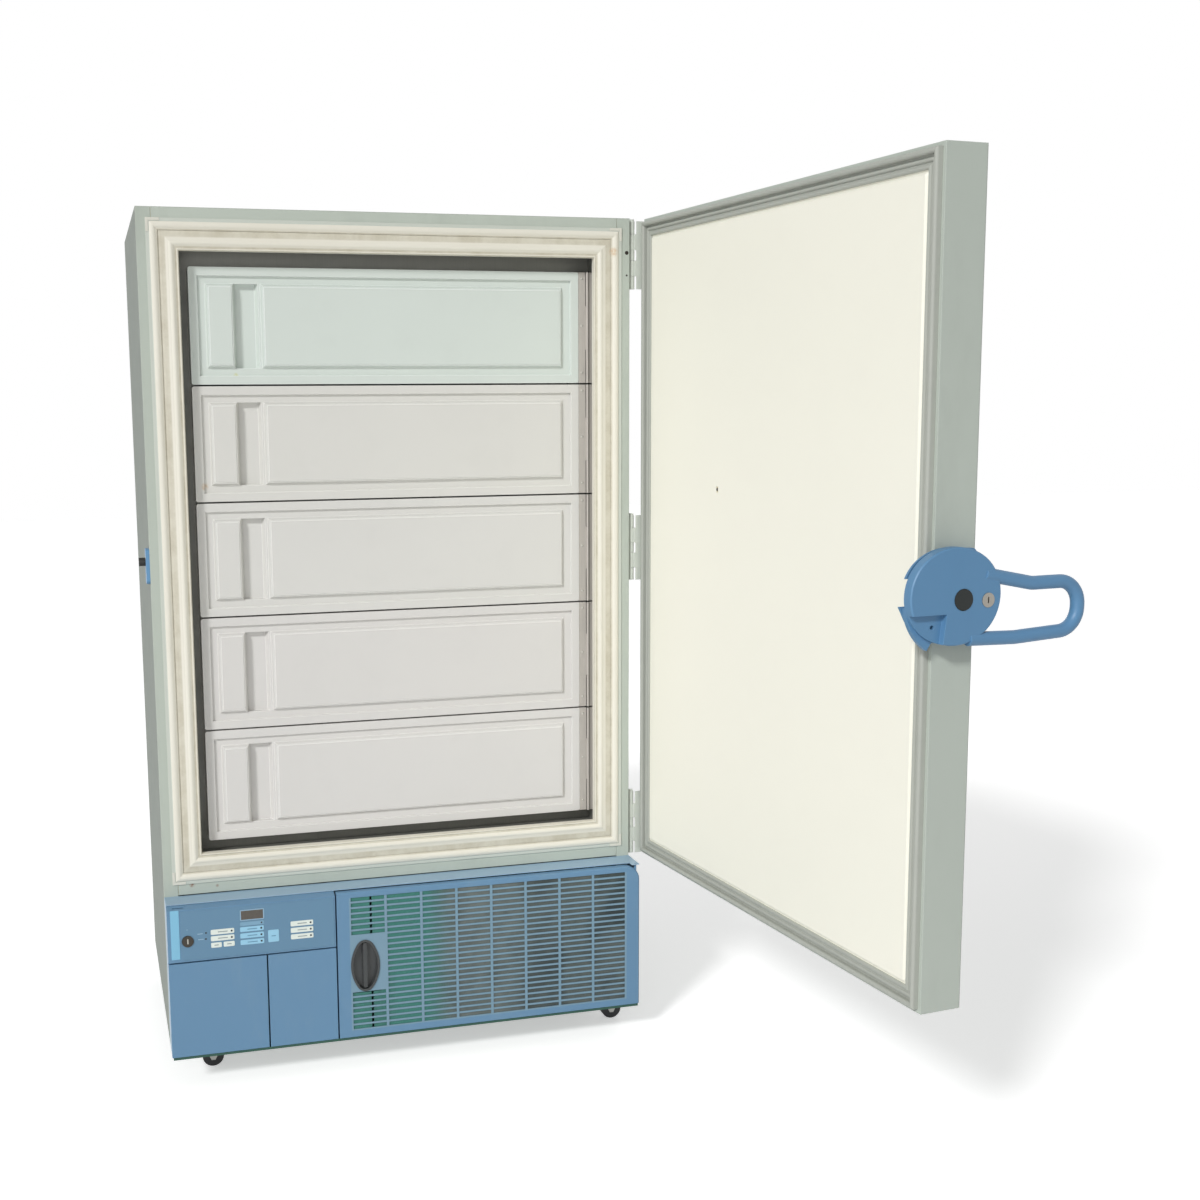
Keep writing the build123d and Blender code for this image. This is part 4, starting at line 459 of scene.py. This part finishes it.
MATERIAL_OF_NODE = {
    "cabinet_wrap": cabinet,
    "front_rails": rail_paint,
    "door_skin": door_paint,
    "cabinet_hinge_leaves": hinge_paint,
    "door_hinge_leaves": hinge_paint,
    "rear_panel": galvanised,
    "rear_vent_cover": galvanised,
    "insulation": foam,
    "door_insulation": foam,
    "cavity_liner": tank_metal,
    "shelves": shelf_metal,
    "shelf_supports": shelf_metal,
    "breaker_strip": breaker,
    "corner_covers": corner_plastic,
    "inner_frame_leaves": hinge_metal,
    "strike_plate": strike_paint,
    "strike_pin": dark_metal,
    "base_frame": base_green,
    "front_ledge": ledge_paint,
    "control_panel": blue_paint,
    "control_overlay": overlay_film,
    "lower_left_panel": blue_paint,
    "lower_middle_panel": blue_paint,
    "grille_door": grille,
    "grille_latch": latch_black,
    "condenser_coil": fins,
    "fan_bracket": shroud_black,
    "fan_motor": shroud_black,
    "condenser_fan": fan_plastic,
    "compressors": teal,
    "power_inlet": black_plastic,
    "door_liner": liner_plastic,
    "door_gasket": gasket_rubber,
    "handle_base": handle_paint,
    "door_handle": handle_paint,
    "latch_hook": handle_paint,
    "pivot_cap": cap_plastic,
    "door_lock": lock_metal,
    "key_switch": switch_metal,
    "caster_plates": zinc,
}
for number in range(1, 6):
    MATERIAL_OF_NODE[f"inner_door_{number}"] = inner_door_plastics[number - 1]
    MATERIAL_OF_NODE[f"inner_door_leaf_{number}"] = hinge_metal
for number in range(1, 5):
    MATERIAL_OF_NODE[f"caster_fork_{number}"] = zinc
    MATERIAL_OF_NODE[f"caster_wheel_{number}"] = wheel_rubber

# Display: a dark window
display = Maker("display_window", rough=0.18, Coat_Weight=0.3)
display.colour(
    display.mix(display.noise(0.01, detail=2), linear(68, 62, 54), linear(82, 75, 66))
)
MATERIAL_OF_NODE["display_window"] = display

for node_name, made in MATERIAL_OF_NODE.items():
    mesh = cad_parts[node_name].data
    mesh.materials.clear()
    mesh.materials.append(made.material)


# New pieces
def settle(piece, material, body):
    """Dress a new piece, and say what it rides on and which finish it takes."""
    piece.data.materials.append(material.material)
    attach(piece, body)


def mesh_object(name, build):
    mesh = bpy.data.meshes.new(name)
    shape = bmesh.new()
    build(shape)
    bmesh.ops.recalc_face_normals(shape, faces=shape.faces)
    shape.to_mesh(mesh)
    shape.free()
    piece = bpy.data.objects.new(name, mesh)
    bpy.context.scene.collection.objects.link(piece)
    return piece


CORNER_STEPS = 5


def rounded_outline(left, right, low, high, radius):
    """Corner-rounded rectangle as (x, z) points, in millimetres."""
    points = []
    corners = ((right - radius, high - radius, 0), (left + radius, high - radius, 90))
    corners += ((left + radius, low + radius, 180), (right - radius, low + radius, 270))
    for centre_x, centre_z, start in corners:
        for step in range(CORNER_STEPS + 1):
            angle = math.radians(start + 90 * step / CORNER_STEPS)
            across, upward = radius * math.cos(angle), radius * math.sin(angle)
            points.append((centre_x + across, centre_z + upward))
    return points


LEAST_RADIUS = 0.1


def front_plate(name, left, right, low, high, back, rise, radius, edge=0.25):
    """A thin plate on a face that looks forward, with round corners and an eased front edge."""

    def build(shape):
        rings = []
        for inset, out in ((0, 0), (0, rise - edge), (edge, rise)):
            outline = rounded_outline(
                left + inset, right - inset, low + inset, high - inset,
                max(radius - inset, LEAST_RADIUS),
            )
            rings.append([shape.verts.new(at(x, back - out, z)) for x, z in outline])
        count = len(rings[0])
        for lower, upper in zip(rings, rings[1:]):
            for place in range(count):
                after = (place + 1) % count
                shape.faces.new((lower[place], lower[after], upper[after], upper[place]))
        shape.faces.new(rings[-1])
        shape.faces.new(rings[0][::-1])

    return mesh_object(name, build)


# Inner bead and lip of the breaker strip: one profile carried round the opening, as pairs of how
# far in from the strip's outer edge and how far forward
BREAKER_HALF = 545
BREAKER_LOW = 465
BREAKER_HIGH = 1957
BREAKER_BAND = 69
BEAD_HOOK = -14
BEAD_HOOK_WIDTH = 11
BEAD_BACK = -1
# The groove's floor, as shares of the band, and the humps from it to the lip: where each starts
# and ends as shares of the band, then how far it stands out in its middle, at its start and end
GROOVE = (0.39, 0.43)
HUMPS = ((0.44, 0.66, -0.5, 0.4, 2.6), (0.68, 0.86, 2.6, 2.8, 1.6), (0.92, 1, 1.9, 0, -0.3))
ARC_STEPS = 8


def arch(start, end, middle_rise, start_rise, end_rise):
    """A smooth hump between two places across the band."""
    points = []
    for step in range(ARC_STEPS + 1):
        share = step / ARC_STEPS
        straight = start_rise + (end_rise - start_rise) * share
        hump = middle_rise * math.sin(math.pi * share)
        points.append((start + (end - start) * share, straight + hump))
    return points


def build_inner_bead(shape):
    groove_start, groove_end = (share * BREAKER_BAND for share in GROOVE)
    profile = [(groove_start, BEAD_BACK), (groove_start, 0), (groove_end, 0)]
    for start, end, middle_rise, start_rise, end_rise in HUMPS:
        profile += arch(
            start * BREAKER_BAND, end * BREAKER_BAND, middle_rise, start_rise, end_rise
        )
    profile += [(BREAKER_BAND, BEAD_HOOK), (BREAKER_BAND - BEAD_HOOK_WIDTH, BEAD_HOOK)]
    profile += [(BREAKER_BAND - BEAD_HOOK_WIDTH, BEAD_BACK)]
    corners = []
    for side_x, side_z in ((-1, -1), (1, -1), (1, 1), (-1, 1)):
        ring = []
        for inward, forward in profile:
            z = BREAKER_LOW + inward if side_z < 0 else BREAKER_HIGH - inward
            ring.append(shape.verts.new(at(side_x * (BREAKER_HALF - inward), -forward, z)))
        corners.append(ring)
    for ring, following in zip(corners, corners[1:] + corners[:1]):
        for place in range(len(profile)):
            after = (place + 1) % len(profile)
            shape.faces.new((ring[place], ring[after], following[after], following[place]))


inner_bead = mesh_object("breaker_inner_bead", build_inner_bead)
settle(inner_bead, breaker, "cabinet")

# Keys, stripe and lamps of the control panel
OVERLAY_THICKNESS = 0.8
OVERLAY_Y = FASCIA_Y - OVERLAY_THICKNESS
key_white = moulded("key_white", linear(226, 233, 226), rough=0.4, haze=0.05)
key_blue = moulded("key_light_blue", linear(150, 200, 226), rough=0.4, haze=0.05)
stripe_blue = moulded("stripe_light_blue", linear(128, 187, 216), rough=0.4, haze=0.06)
panel_tint = moulded("panel_tint", linear(122, 162, 188), rough=0.4, haze=0.06)
outline_tint = moulded("outline_tint", linear(150, 182, 205), rough=0.4, haze=0.06)
label_grey = moulded("label_grey", linear(150, 162, 164), rough=0.5, haze=0.3)
label_blue = moulded("label_blue", linear(104, 150, 182), rough=0.5, haze=0.3)
lamp_dark = Maker("lamp_dark", rough=0.2, Coat_Weight=0.5)
lamp_dark.colour(
    lamp_dark.mix(lamp_dark.noise(0.002, detail=2), linear(30, 38, 44), linear(46, 56, 62))
)
# Painted shade for the insides of holes
hole_shade = Maker("hole_shade", rough=0.8)
hole_shade.colour(
    hole_shade.mix(hole_shade.noise(0.002, detail=2), linear(20, 18, 16), linear(52, 42, 34))
)
screw_metal = rolled("screw_metal", linear(196, 194, 186), rough=0.35, metal=0.5)


STUD_SHARES = (0, 0.4, 0.75, 0.95)
STUD_STEPS = 16


def studs(name, places, normal, radius, rise):
    """Low round heads, one at each place, that stand off a face along its normal."""
    out = Vector(normal).normalized()
    across = out.orthogonal().normalized()
    upward = out.cross(across)

    def build(shape):
        for place in places:
            rings = []
            for share in STUD_SHARES:
                reach = radius * MM * math.cos(share * math.pi / 2)
                lift = rise * MM * math.sin(share * math.pi / 2)
                ring = []
                for step in range(STUD_STEPS):
                    angle = 2 * math.pi * step / STUD_STEPS
                    side = across * math.cos(angle) + upward * math.sin(angle)
                    ring.append(shape.verts.new(at(*place) + out * lift + side * reach))
                rings.append(ring)
            for lower, upper in zip(rings, rings[1:]):
                for spot in range(STUD_STEPS):
                    after = (spot + 1) % STUD_STEPS
                    shape.faces.new((lower[spot], lower[after], upper[after], upper[spot]))
            shape.faces.new(rings[-1])
            shape.faces.new(rings[0][::-1])

    return mesh_object(name, build)


FRONT = (0, -1, 0)

stripe = front_plate(
    "control_stripe", left=-557.5, right=-538, low=315, high=430, back=FASCIA_Y, rise=0.6,
    radius=1.5,
)
settle(stripe, stripe_blue, "cabinet")
bezel = front_plate(
    "display_bezel", left=-402.5, right=-347.5, low=391.5, high=417.5, back=OVERLAY_Y, rise=0.15,
    radius=3,
)
settle(bezel, outline_tint, "cabinet")
reading_field = front_plate(
    "reading_field", left=-403, right=-348, low=379, high=389, back=OVERLAY_Y, rise=0.2, radius=2.5
)
settle(reading_field, panel_tint, "cabinet")

KEY_RISE = 0.5
KEY_CORNER = 2.5
LABEL_HEIGHT = 2.2
LABEL_RISE = 0.15
LABEL_CORNER = 1
LABEL_EDGE = 0.05
LABEL_START_SHARE = 0.3
LABEL_END_SHARE = 0.72
LAMP_INSET = 6
# Lamps beside the keys as (x, z), and the plain marks beside them as left, right and middle
PANEL_LAMPS = ((-479.4, 371.6), (-479.9, 357.5), (-354, 384))
PANEL_MARKS = ((-499, -486.5, 370.6), (-497.5, -485, 357.5), (-522.5, -519.5, 383))
# Keys as left, right, low, high, shade and whether a lamp sits at the right end
KEYS = (
    (-403, -349, 365.5, 377, key_blue, True),
    (-403, -349, 350, 362, key_blue, True),
    (-403, -349, 334.5, 346.5, key_blue, True),
    (-469, -416, 365.5, 377.5, key_white, True),
    (-469, -416, 350.5, 362.5, key_white, True),
    (-469, -445, 335, 347, key_white, False),
    (-441, -416, 335, 347, key_white, False),
    (-340, -315, 335, 364, key_blue, False),
    (-288, -236, 367, 379, key_white, True),
    (-288, -236, 351.5, 363.5, key_white, True),
    (-288, -236, 336, 348, key_white, True),
)


def label_bar(name, left, right, middle, back, shade):
    """A plain bar where a key or lamp has its caption."""
    half = LABEL_HEIGHT / 2
    bar = front_plate(
        name, left, right, middle - half, middle + half, back, LABEL_RISE, LABEL_CORNER, LABEL_EDGE
    )
    settle(bar, shade, "cabinet")


for number, (left, right, low, high, shade, lamp) in enumerate(KEYS, start=1):
    key = front_plate(f"key_{number}", left, right, low, high, OVERLAY_Y, KEY_RISE, KEY_CORNER)
    settle(key, shade, "cabinet")
    middle = (low + high) / 2
    span = right - left
    label_bar(
        f"key_label_{number}", left + LABEL_START_SHARE * span, left + LABEL_END_SHARE * span,
        middle, OVERLAY_Y - KEY_RISE, label_grey if shade is key_white else label_blue,
    )
    if lamp:
        spot = (right - LAMP_INSET, OVERLAY_Y - KEY_RISE, middle)
        key_lamp = studs(f"key_lamp_{number}", (spot,), FRONT, radius=2.4, rise=0.8)
        settle(key_lamp, lamp_dark, "cabinet")
lamp_places = [(x, OVERLAY_Y, z) for x, z in PANEL_LAMPS]
panel_lamps = studs("panel_lamps", lamp_places, FRONT, radius=2.2, rise=0.7)
settle(panel_lamps, lamp_dark, "cabinet")
for number, (left, right, middle) in enumerate(PANEL_MARKS, start=1):
    label_bar(f"panel_mark_{number}", left, right, middle, OVERLAY_Y, outline_tint)

# Bright slot of the key switch
switch_low, switch_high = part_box("key_switch")
switch_front = (switch_low.y - HOME.y) / MM
switch_x = ((switch_low.x + switch_high.x) / 2 - HOME.x) / MM
switch_z = (switch_low.z + switch_high.z) / 2 / MM
SLOT_HALF_WIDTH = 1.3
SLOT_HALF_HEIGHT = 6
slot_plate = front_plate(
    "key_slot_plate", switch_x - SLOT_HALF_WIDTH, switch_x + SLOT_HALF_WIDTH,
    switch_z - SLOT_HALF_HEIGHT, switch_z + SLOT_HALF_HEIGHT,
    back=switch_front, rise=0.2, radius=1, edge=0.1,
)
settle(slot_plate, screw_metal, "key_switch")

# Two spare holes in the right stile, as dark discs of painted shade: height and radius of each
STILE_HOLE_X = 558
STILE_HOLES = ((1901, 4.7), (1849, 2.3))
for number, (hole_z, hole_radius) in enumerate(STILE_HOLES, start=1):
    spot = (STILE_HOLE_X, 0, hole_z)
    hole_shade_disc = studs(f"stile_hole_{number}", (spot,), FRONT, hole_radius, rise=0.3)
    settle(hole_shade_disc, hole_shade, "cabinet")

# Rivets down the hinge leaf of each inner door
RIVET_X = 459.6
RIVET_Y = 39.2
RIVET_SHARES = (0.055, 0.48, 0.905)
INNER_DOOR_TOP = 1857.8
INNER_DOOR_HEIGHT = 257.8
INNER_DOOR_PITCH = 261.8
for number in range(1, 6):
    top = INNER_DOOR_TOP - (number - 1) * INNER_DOOR_PITCH
    places = [(RIVET_X, RIVET_Y, top - share * INNER_DOOR_HEIGHT) for share in RIVET_SHARES]
    rivets = studs(f"inner_door_rivets_{number}", places, FRONT, radius=3.2, rise=1.2)
    settle(rivets, screw_metal, f"inner_door_{number}")

# Screws of the outer hinges: on the cabinet, and on the door, which is open at rest. The door's
# places are those of the closed door, swung by the angle that it rests at.
HINGE_AXIS = (575, 15)
REST_ANGLE = math.radians(96)
LEAF_X = 568
CABINET_SCREW_Y = 47.2
DOOR_SCREW_Y = -46.2
HINGE_BOTTOMS = (441, 1126, 1818)
HINGE_LENGTH = 157
SCREW_SHARES = (0.12, 0.5, 0.88)
SCREW_RADIUS = 4
SCREW_RISE = 1


def swung(x, y):
    """Where a point of the closed outer door lies with the door at rest."""
    along, across = x - HINGE_AXIS[0], y - HINGE_AXIS[1]
    turned_x = along * math.cos(REST_ANGLE) - across * math.sin(REST_ANGLE)
    turned_y = along * math.sin(REST_ANGLE) + across * math.cos(REST_ANGLE)
    return HINGE_AXIS[0] + turned_x, HINGE_AXIS[1] + turned_y


screw_heights = [
    bottom + share * HINGE_LENGTH for bottom in HINGE_BOTTOMS for share in SCREW_SHARES
]
cabinet_screws = studs(
    "cabinet_hinge_screws", [(LEAF_X, CABINET_SCREW_Y, z) for z in screw_heights], (1, 0, 0),
    SCREW_RADIUS, SCREW_RISE,
)
settle(cabinet_screws, hinge_paint, "cabinet")
door_screws = studs(
    "door_hinge_screws", [(*swung(LEAF_X, DOOR_SCREW_Y), z) for z in screw_heights],
    (math.cos(REST_ANGLE), math.sin(REST_ANGLE), 0), SCREW_RADIUS, SCREW_RISE,
)
settle(door_screws, hinge_paint, "outer_door")

# Screws of the strike plate on the cabinet's left side
STRIKE_X = -573
STRIKE_Y = 22
STRIKE_HEIGHTS = (1218, 1180)
strike_screws = studs(
    "strike_screws", [(STRIKE_X, STRIKE_Y, z) for z in STRIKE_HEIGHTS], (-1, 0, 0),
    radius=3.4, rise=0.6,
)
settle(strike_screws, screw_metal, "cabinet")

# Filter mat behind the grille: teal mesh where it is clean, grey with dust further right, and dark
# patches of painted shade at the far right
mat = Maker("filter_mat", rough=0.9)
weave = mat.noise(0.0016, detail=2, rough=0.6)
clean_tone = mat.mix(weave, linear(44, 104, 94), linear(84, 148, 136))
dust_tone = mat.mix(weave, linear(70, 78, 75), linear(112, 120, 117))
dusty = mat.window(mat.axis("X"), HOME.x + 20 * MM, HOME.x + 110 * MM)
mat_tone = mat.mix(dusty, clean_tone, dust_tone)
pale_band = mat.between("X", low=110, high=230, soft=60)
pale = mat.times(pale_band, mat.patches(0.09, low=0.35, high=0.65, detail=3, rough=0.5))
mat_tone = mat.mix(mat.times(pale, 0.5), mat_tone, linear(130, 138, 134))
far_right = mat.window(mat.axis("X"), HOME.x + 140 * MM, HOME.x + 420 * MM)
# Painted shade: dark patches on the mat's right part
painted_shade_patch = mat.times(far_right, mat.patches(0.13, low=0.4, high=0.62, detail=3, rough=0.5))
mat_tone = mat.mix(mat.times(painted_shade_patch, 0.85), mat_tone, linear(44, 54, 56))
streaks = mat.patches(0.05, low=0.45, high=0.75, detail=3, rough=0.5, stretch=(1, 1, 0.3))
mat.colour(mat.mix(mat.times(streaks, 0.3), mat_tone, linear(60, 74, 72)))
mat.roughness(mat.noise(0.02, detail=2), low=0.8, high=0.95)
WEAVE_RELIEF = 0.0008
mat.bump(weave, WEAVE_RELIEF)
MAT_BACK = -70
MAT_DEPTH = 7
MAT_LEFT = -176
MAT_RIGHT = 545
MAT_LOW = 87
MAT_HIGH = 428
MAT_SEAM = -100
MAT_SEAM_GAP = 5
MAT_ROOM = 4
latch_low, latch_high = [(corner - HOME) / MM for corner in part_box("grille_latch")]


def slab(name, outline, back, rise):
    """A flat piece of an (x, z) outline, standing forward of its back."""

    def build(shape):
        rings = []
        for out in (0, rise):
            rings.append([shape.verts.new(at(x, back - out, z)) for x, z in outline])
        for place in range(len(outline)):
            after = (place + 1) % len(outline)
            shape.faces.new((rings[0][place], rings[0][after], rings[1][after], rings[1][place]))
        shape.faces.new(rings[1])
        shape.faces.new(rings[0][::-1])

    return mesh_object(name, build)


seam_left = MAT_SEAM - MAT_SEAM_GAP / 2
seam_right = MAT_SEAM + MAT_SEAM_GAP / 2
room_low = latch_low.z - MAT_ROOM
room_high = latch_high.z + MAT_ROOM
room_right = latch_high.x + MAT_ROOM
main_outline = (
    (seam_right, MAT_HIGH), (seam_right, room_high), (room_right, room_high),
    (room_right, room_low), (seam_right, room_low), (seam_right, MAT_LOW),
    (MAT_RIGHT, MAT_LOW), (MAT_RIGHT, MAT_HIGH),
)
settle(slab("filter_mat", main_outline, MAT_BACK, MAT_DEPTH), mat, "grille_door")
for name, low, high in (("low", MAT_LOW, room_low), ("high", room_high, MAT_HIGH)):
    pad = front_plate(
        f"filter_mat_{name}", MAT_LEFT, seam_left, low, high, MAT_BACK, MAT_DEPTH, radius=2, edge=1
    )
    settle(pad, mat, "grille_door")

# Painted shade at the bottom of the sensor hole in the door's liner: a dark disc
SENSOR_X = 196
SENSOR_Z = 1361
SENSOR_Y = -9.7
sensor_hole = studs(
    "sensor_hole", ((*swung(SENSOR_X, SENSOR_Y), SENSOR_Z),),
    (-math.sin(REST_ANGLE), math.cos(REST_ANGLE), 0), radius=3.9, rise=0.5,
)
settle(sensor_hole, hole_shade, "outer_door")


# Light, floor and background
def area_light(name, spot, target, side, power):
    data = bpy.data.lights.new(name, "AREA")
    data.shape = "SQUARE"
    data.size = side
    data.energy = power
    lamp = bpy.data.objects.new(name, data)
    lamp.location = at(*spot)
    lamp.rotation_euler = (at(*target) - lamp.location).to_track_quat("-Z", "Y").to_euler()
    lamp.visible_camera = False
    bpy.context.scene.collection.objects.link(lamp)


SUN_TOWARDS = (-0.593, -0.593, 0.545)
SUN_ENERGY = 2.0
SUN_ANGLE = math.radians(9)
sun_data = bpy.data.lights.new("soft_sun", "SUN")
sun_data.energy = SUN_ENERGY
sun_data.angle = SUN_ANGLE
sun = bpy.data.objects.new("soft_sun", sun_data)
sun.rotation_euler = (-Vector(SUN_TOWARDS)).to_track_quat("-Z", "Y").to_euler()
bpy.context.scene.collection.objects.link(sun)

area_light(
    "front_light", spot=(-1300, -2900, 1500), target=(150, -300, 1000), side=1.4, power=15
)
area_light("back_light", spot=(2600, 4200, 2600), target=(0, 400, 1000), side=2, power=34)

AMBIENT_COLOUR = (0.99, 1, 0.99, 1)
AMBIENT_STRENGTH = 0.22
WHITE = (1, 1, 1, 1)
world = bpy.data.worlds.new("world")
bpy.context.scene.world = world
world.use_nodes = True
world_tree = world.node_tree
world_tree.nodes.clear()


def seen_share(tree):
    """1 for the rays that show the background: from the camera, in gloss and through glass."""
    ray = tree.nodes.new("ShaderNodeLightPath")
    total = ray.outputs["Is Camera Ray"]
    for name in ("Is Glossy Ray", "Is Transmission Ray"):
        larger = tree.nodes.new("ShaderNodeMath")
        larger.operation = "MAXIMUM"
        tree.links.new(total, larger.inputs[0])
        tree.links.new(ray.outputs[name], larger.inputs[1])
        total = larger.outputs["Value"]
    return total


world_output = world_tree.nodes.new("ShaderNodeOutputWorld")
ambient = world_tree.nodes.new("ShaderNodeBackground")
ambient.inputs["Color"].default_value = AMBIENT_COLOUR
ambient.inputs["Strength"].default_value = AMBIENT_STRENGTH
backdrop = world_tree.nodes.new("ShaderNodeBackground")
backdrop.inputs["Color"].default_value = WHITE
backdrop.inputs["Strength"].default_value = 1
world_mix = world_tree.nodes.new("ShaderNodeMixShader")
world_tree.links.new(seen_share(world_tree), world_mix.inputs["Fac"])
world_tree.links.new(ambient.outputs["Background"], world_mix.inputs[1])
world_tree.links.new(backdrop.outputs["Background"], world_mix.inputs[2])
world_tree.links.new(world_mix.outputs["Shader"], world_output.inputs["Surface"])

FLOOR_SIDE = 40
FLOOR_TONES = ((0.9, 0.9, 0.9, 1), (0.94, 0.94, 0.94, 1))
# The floor's own white shows to the camera and in gloss alone, and is only as strong as leaves the
# object's shadow grey
FLOOR_GLOW = 0.47


def build_floor(shape):
    half = FLOOR_SIDE / 2
    corners = ((-half, -half), (half, -half), (half, half), (-half, half))
    shape.faces.new([shape.verts.new((x, y, 0)) for x, y in corners])


floor = mesh_object("floor", build_floor)
floor_maker = Maker("floor", rough=0.9)
floor_maker.colour(floor_maker.mix(floor_maker.noise(1.5, detail=2), *FLOOR_TONES))
glow = floor_maker.tree.nodes.new("ShaderNodeEmission")
glow_strength = floor_maker.times(seen_share(floor_maker.tree), FLOOR_GLOW)
floor_maker.link(glow_strength, glow.inputs["Strength"])
floor_sum = floor_maker.tree.nodes.new("ShaderNodeAddShader")
floor_maker.link(floor_maker.shader.outputs["BSDF"], floor_sum.inputs[0])
floor_maker.link(glow.outputs["Emission"], floor_sum.inputs[1])
floor_maker.link(floor_sum.outputs["Shader"], floor_maker.output.inputs["Surface"])
floor.data.materials.append(floor_maker.material)

bpy.context.scene.view_settings.view_transform = "Standard"
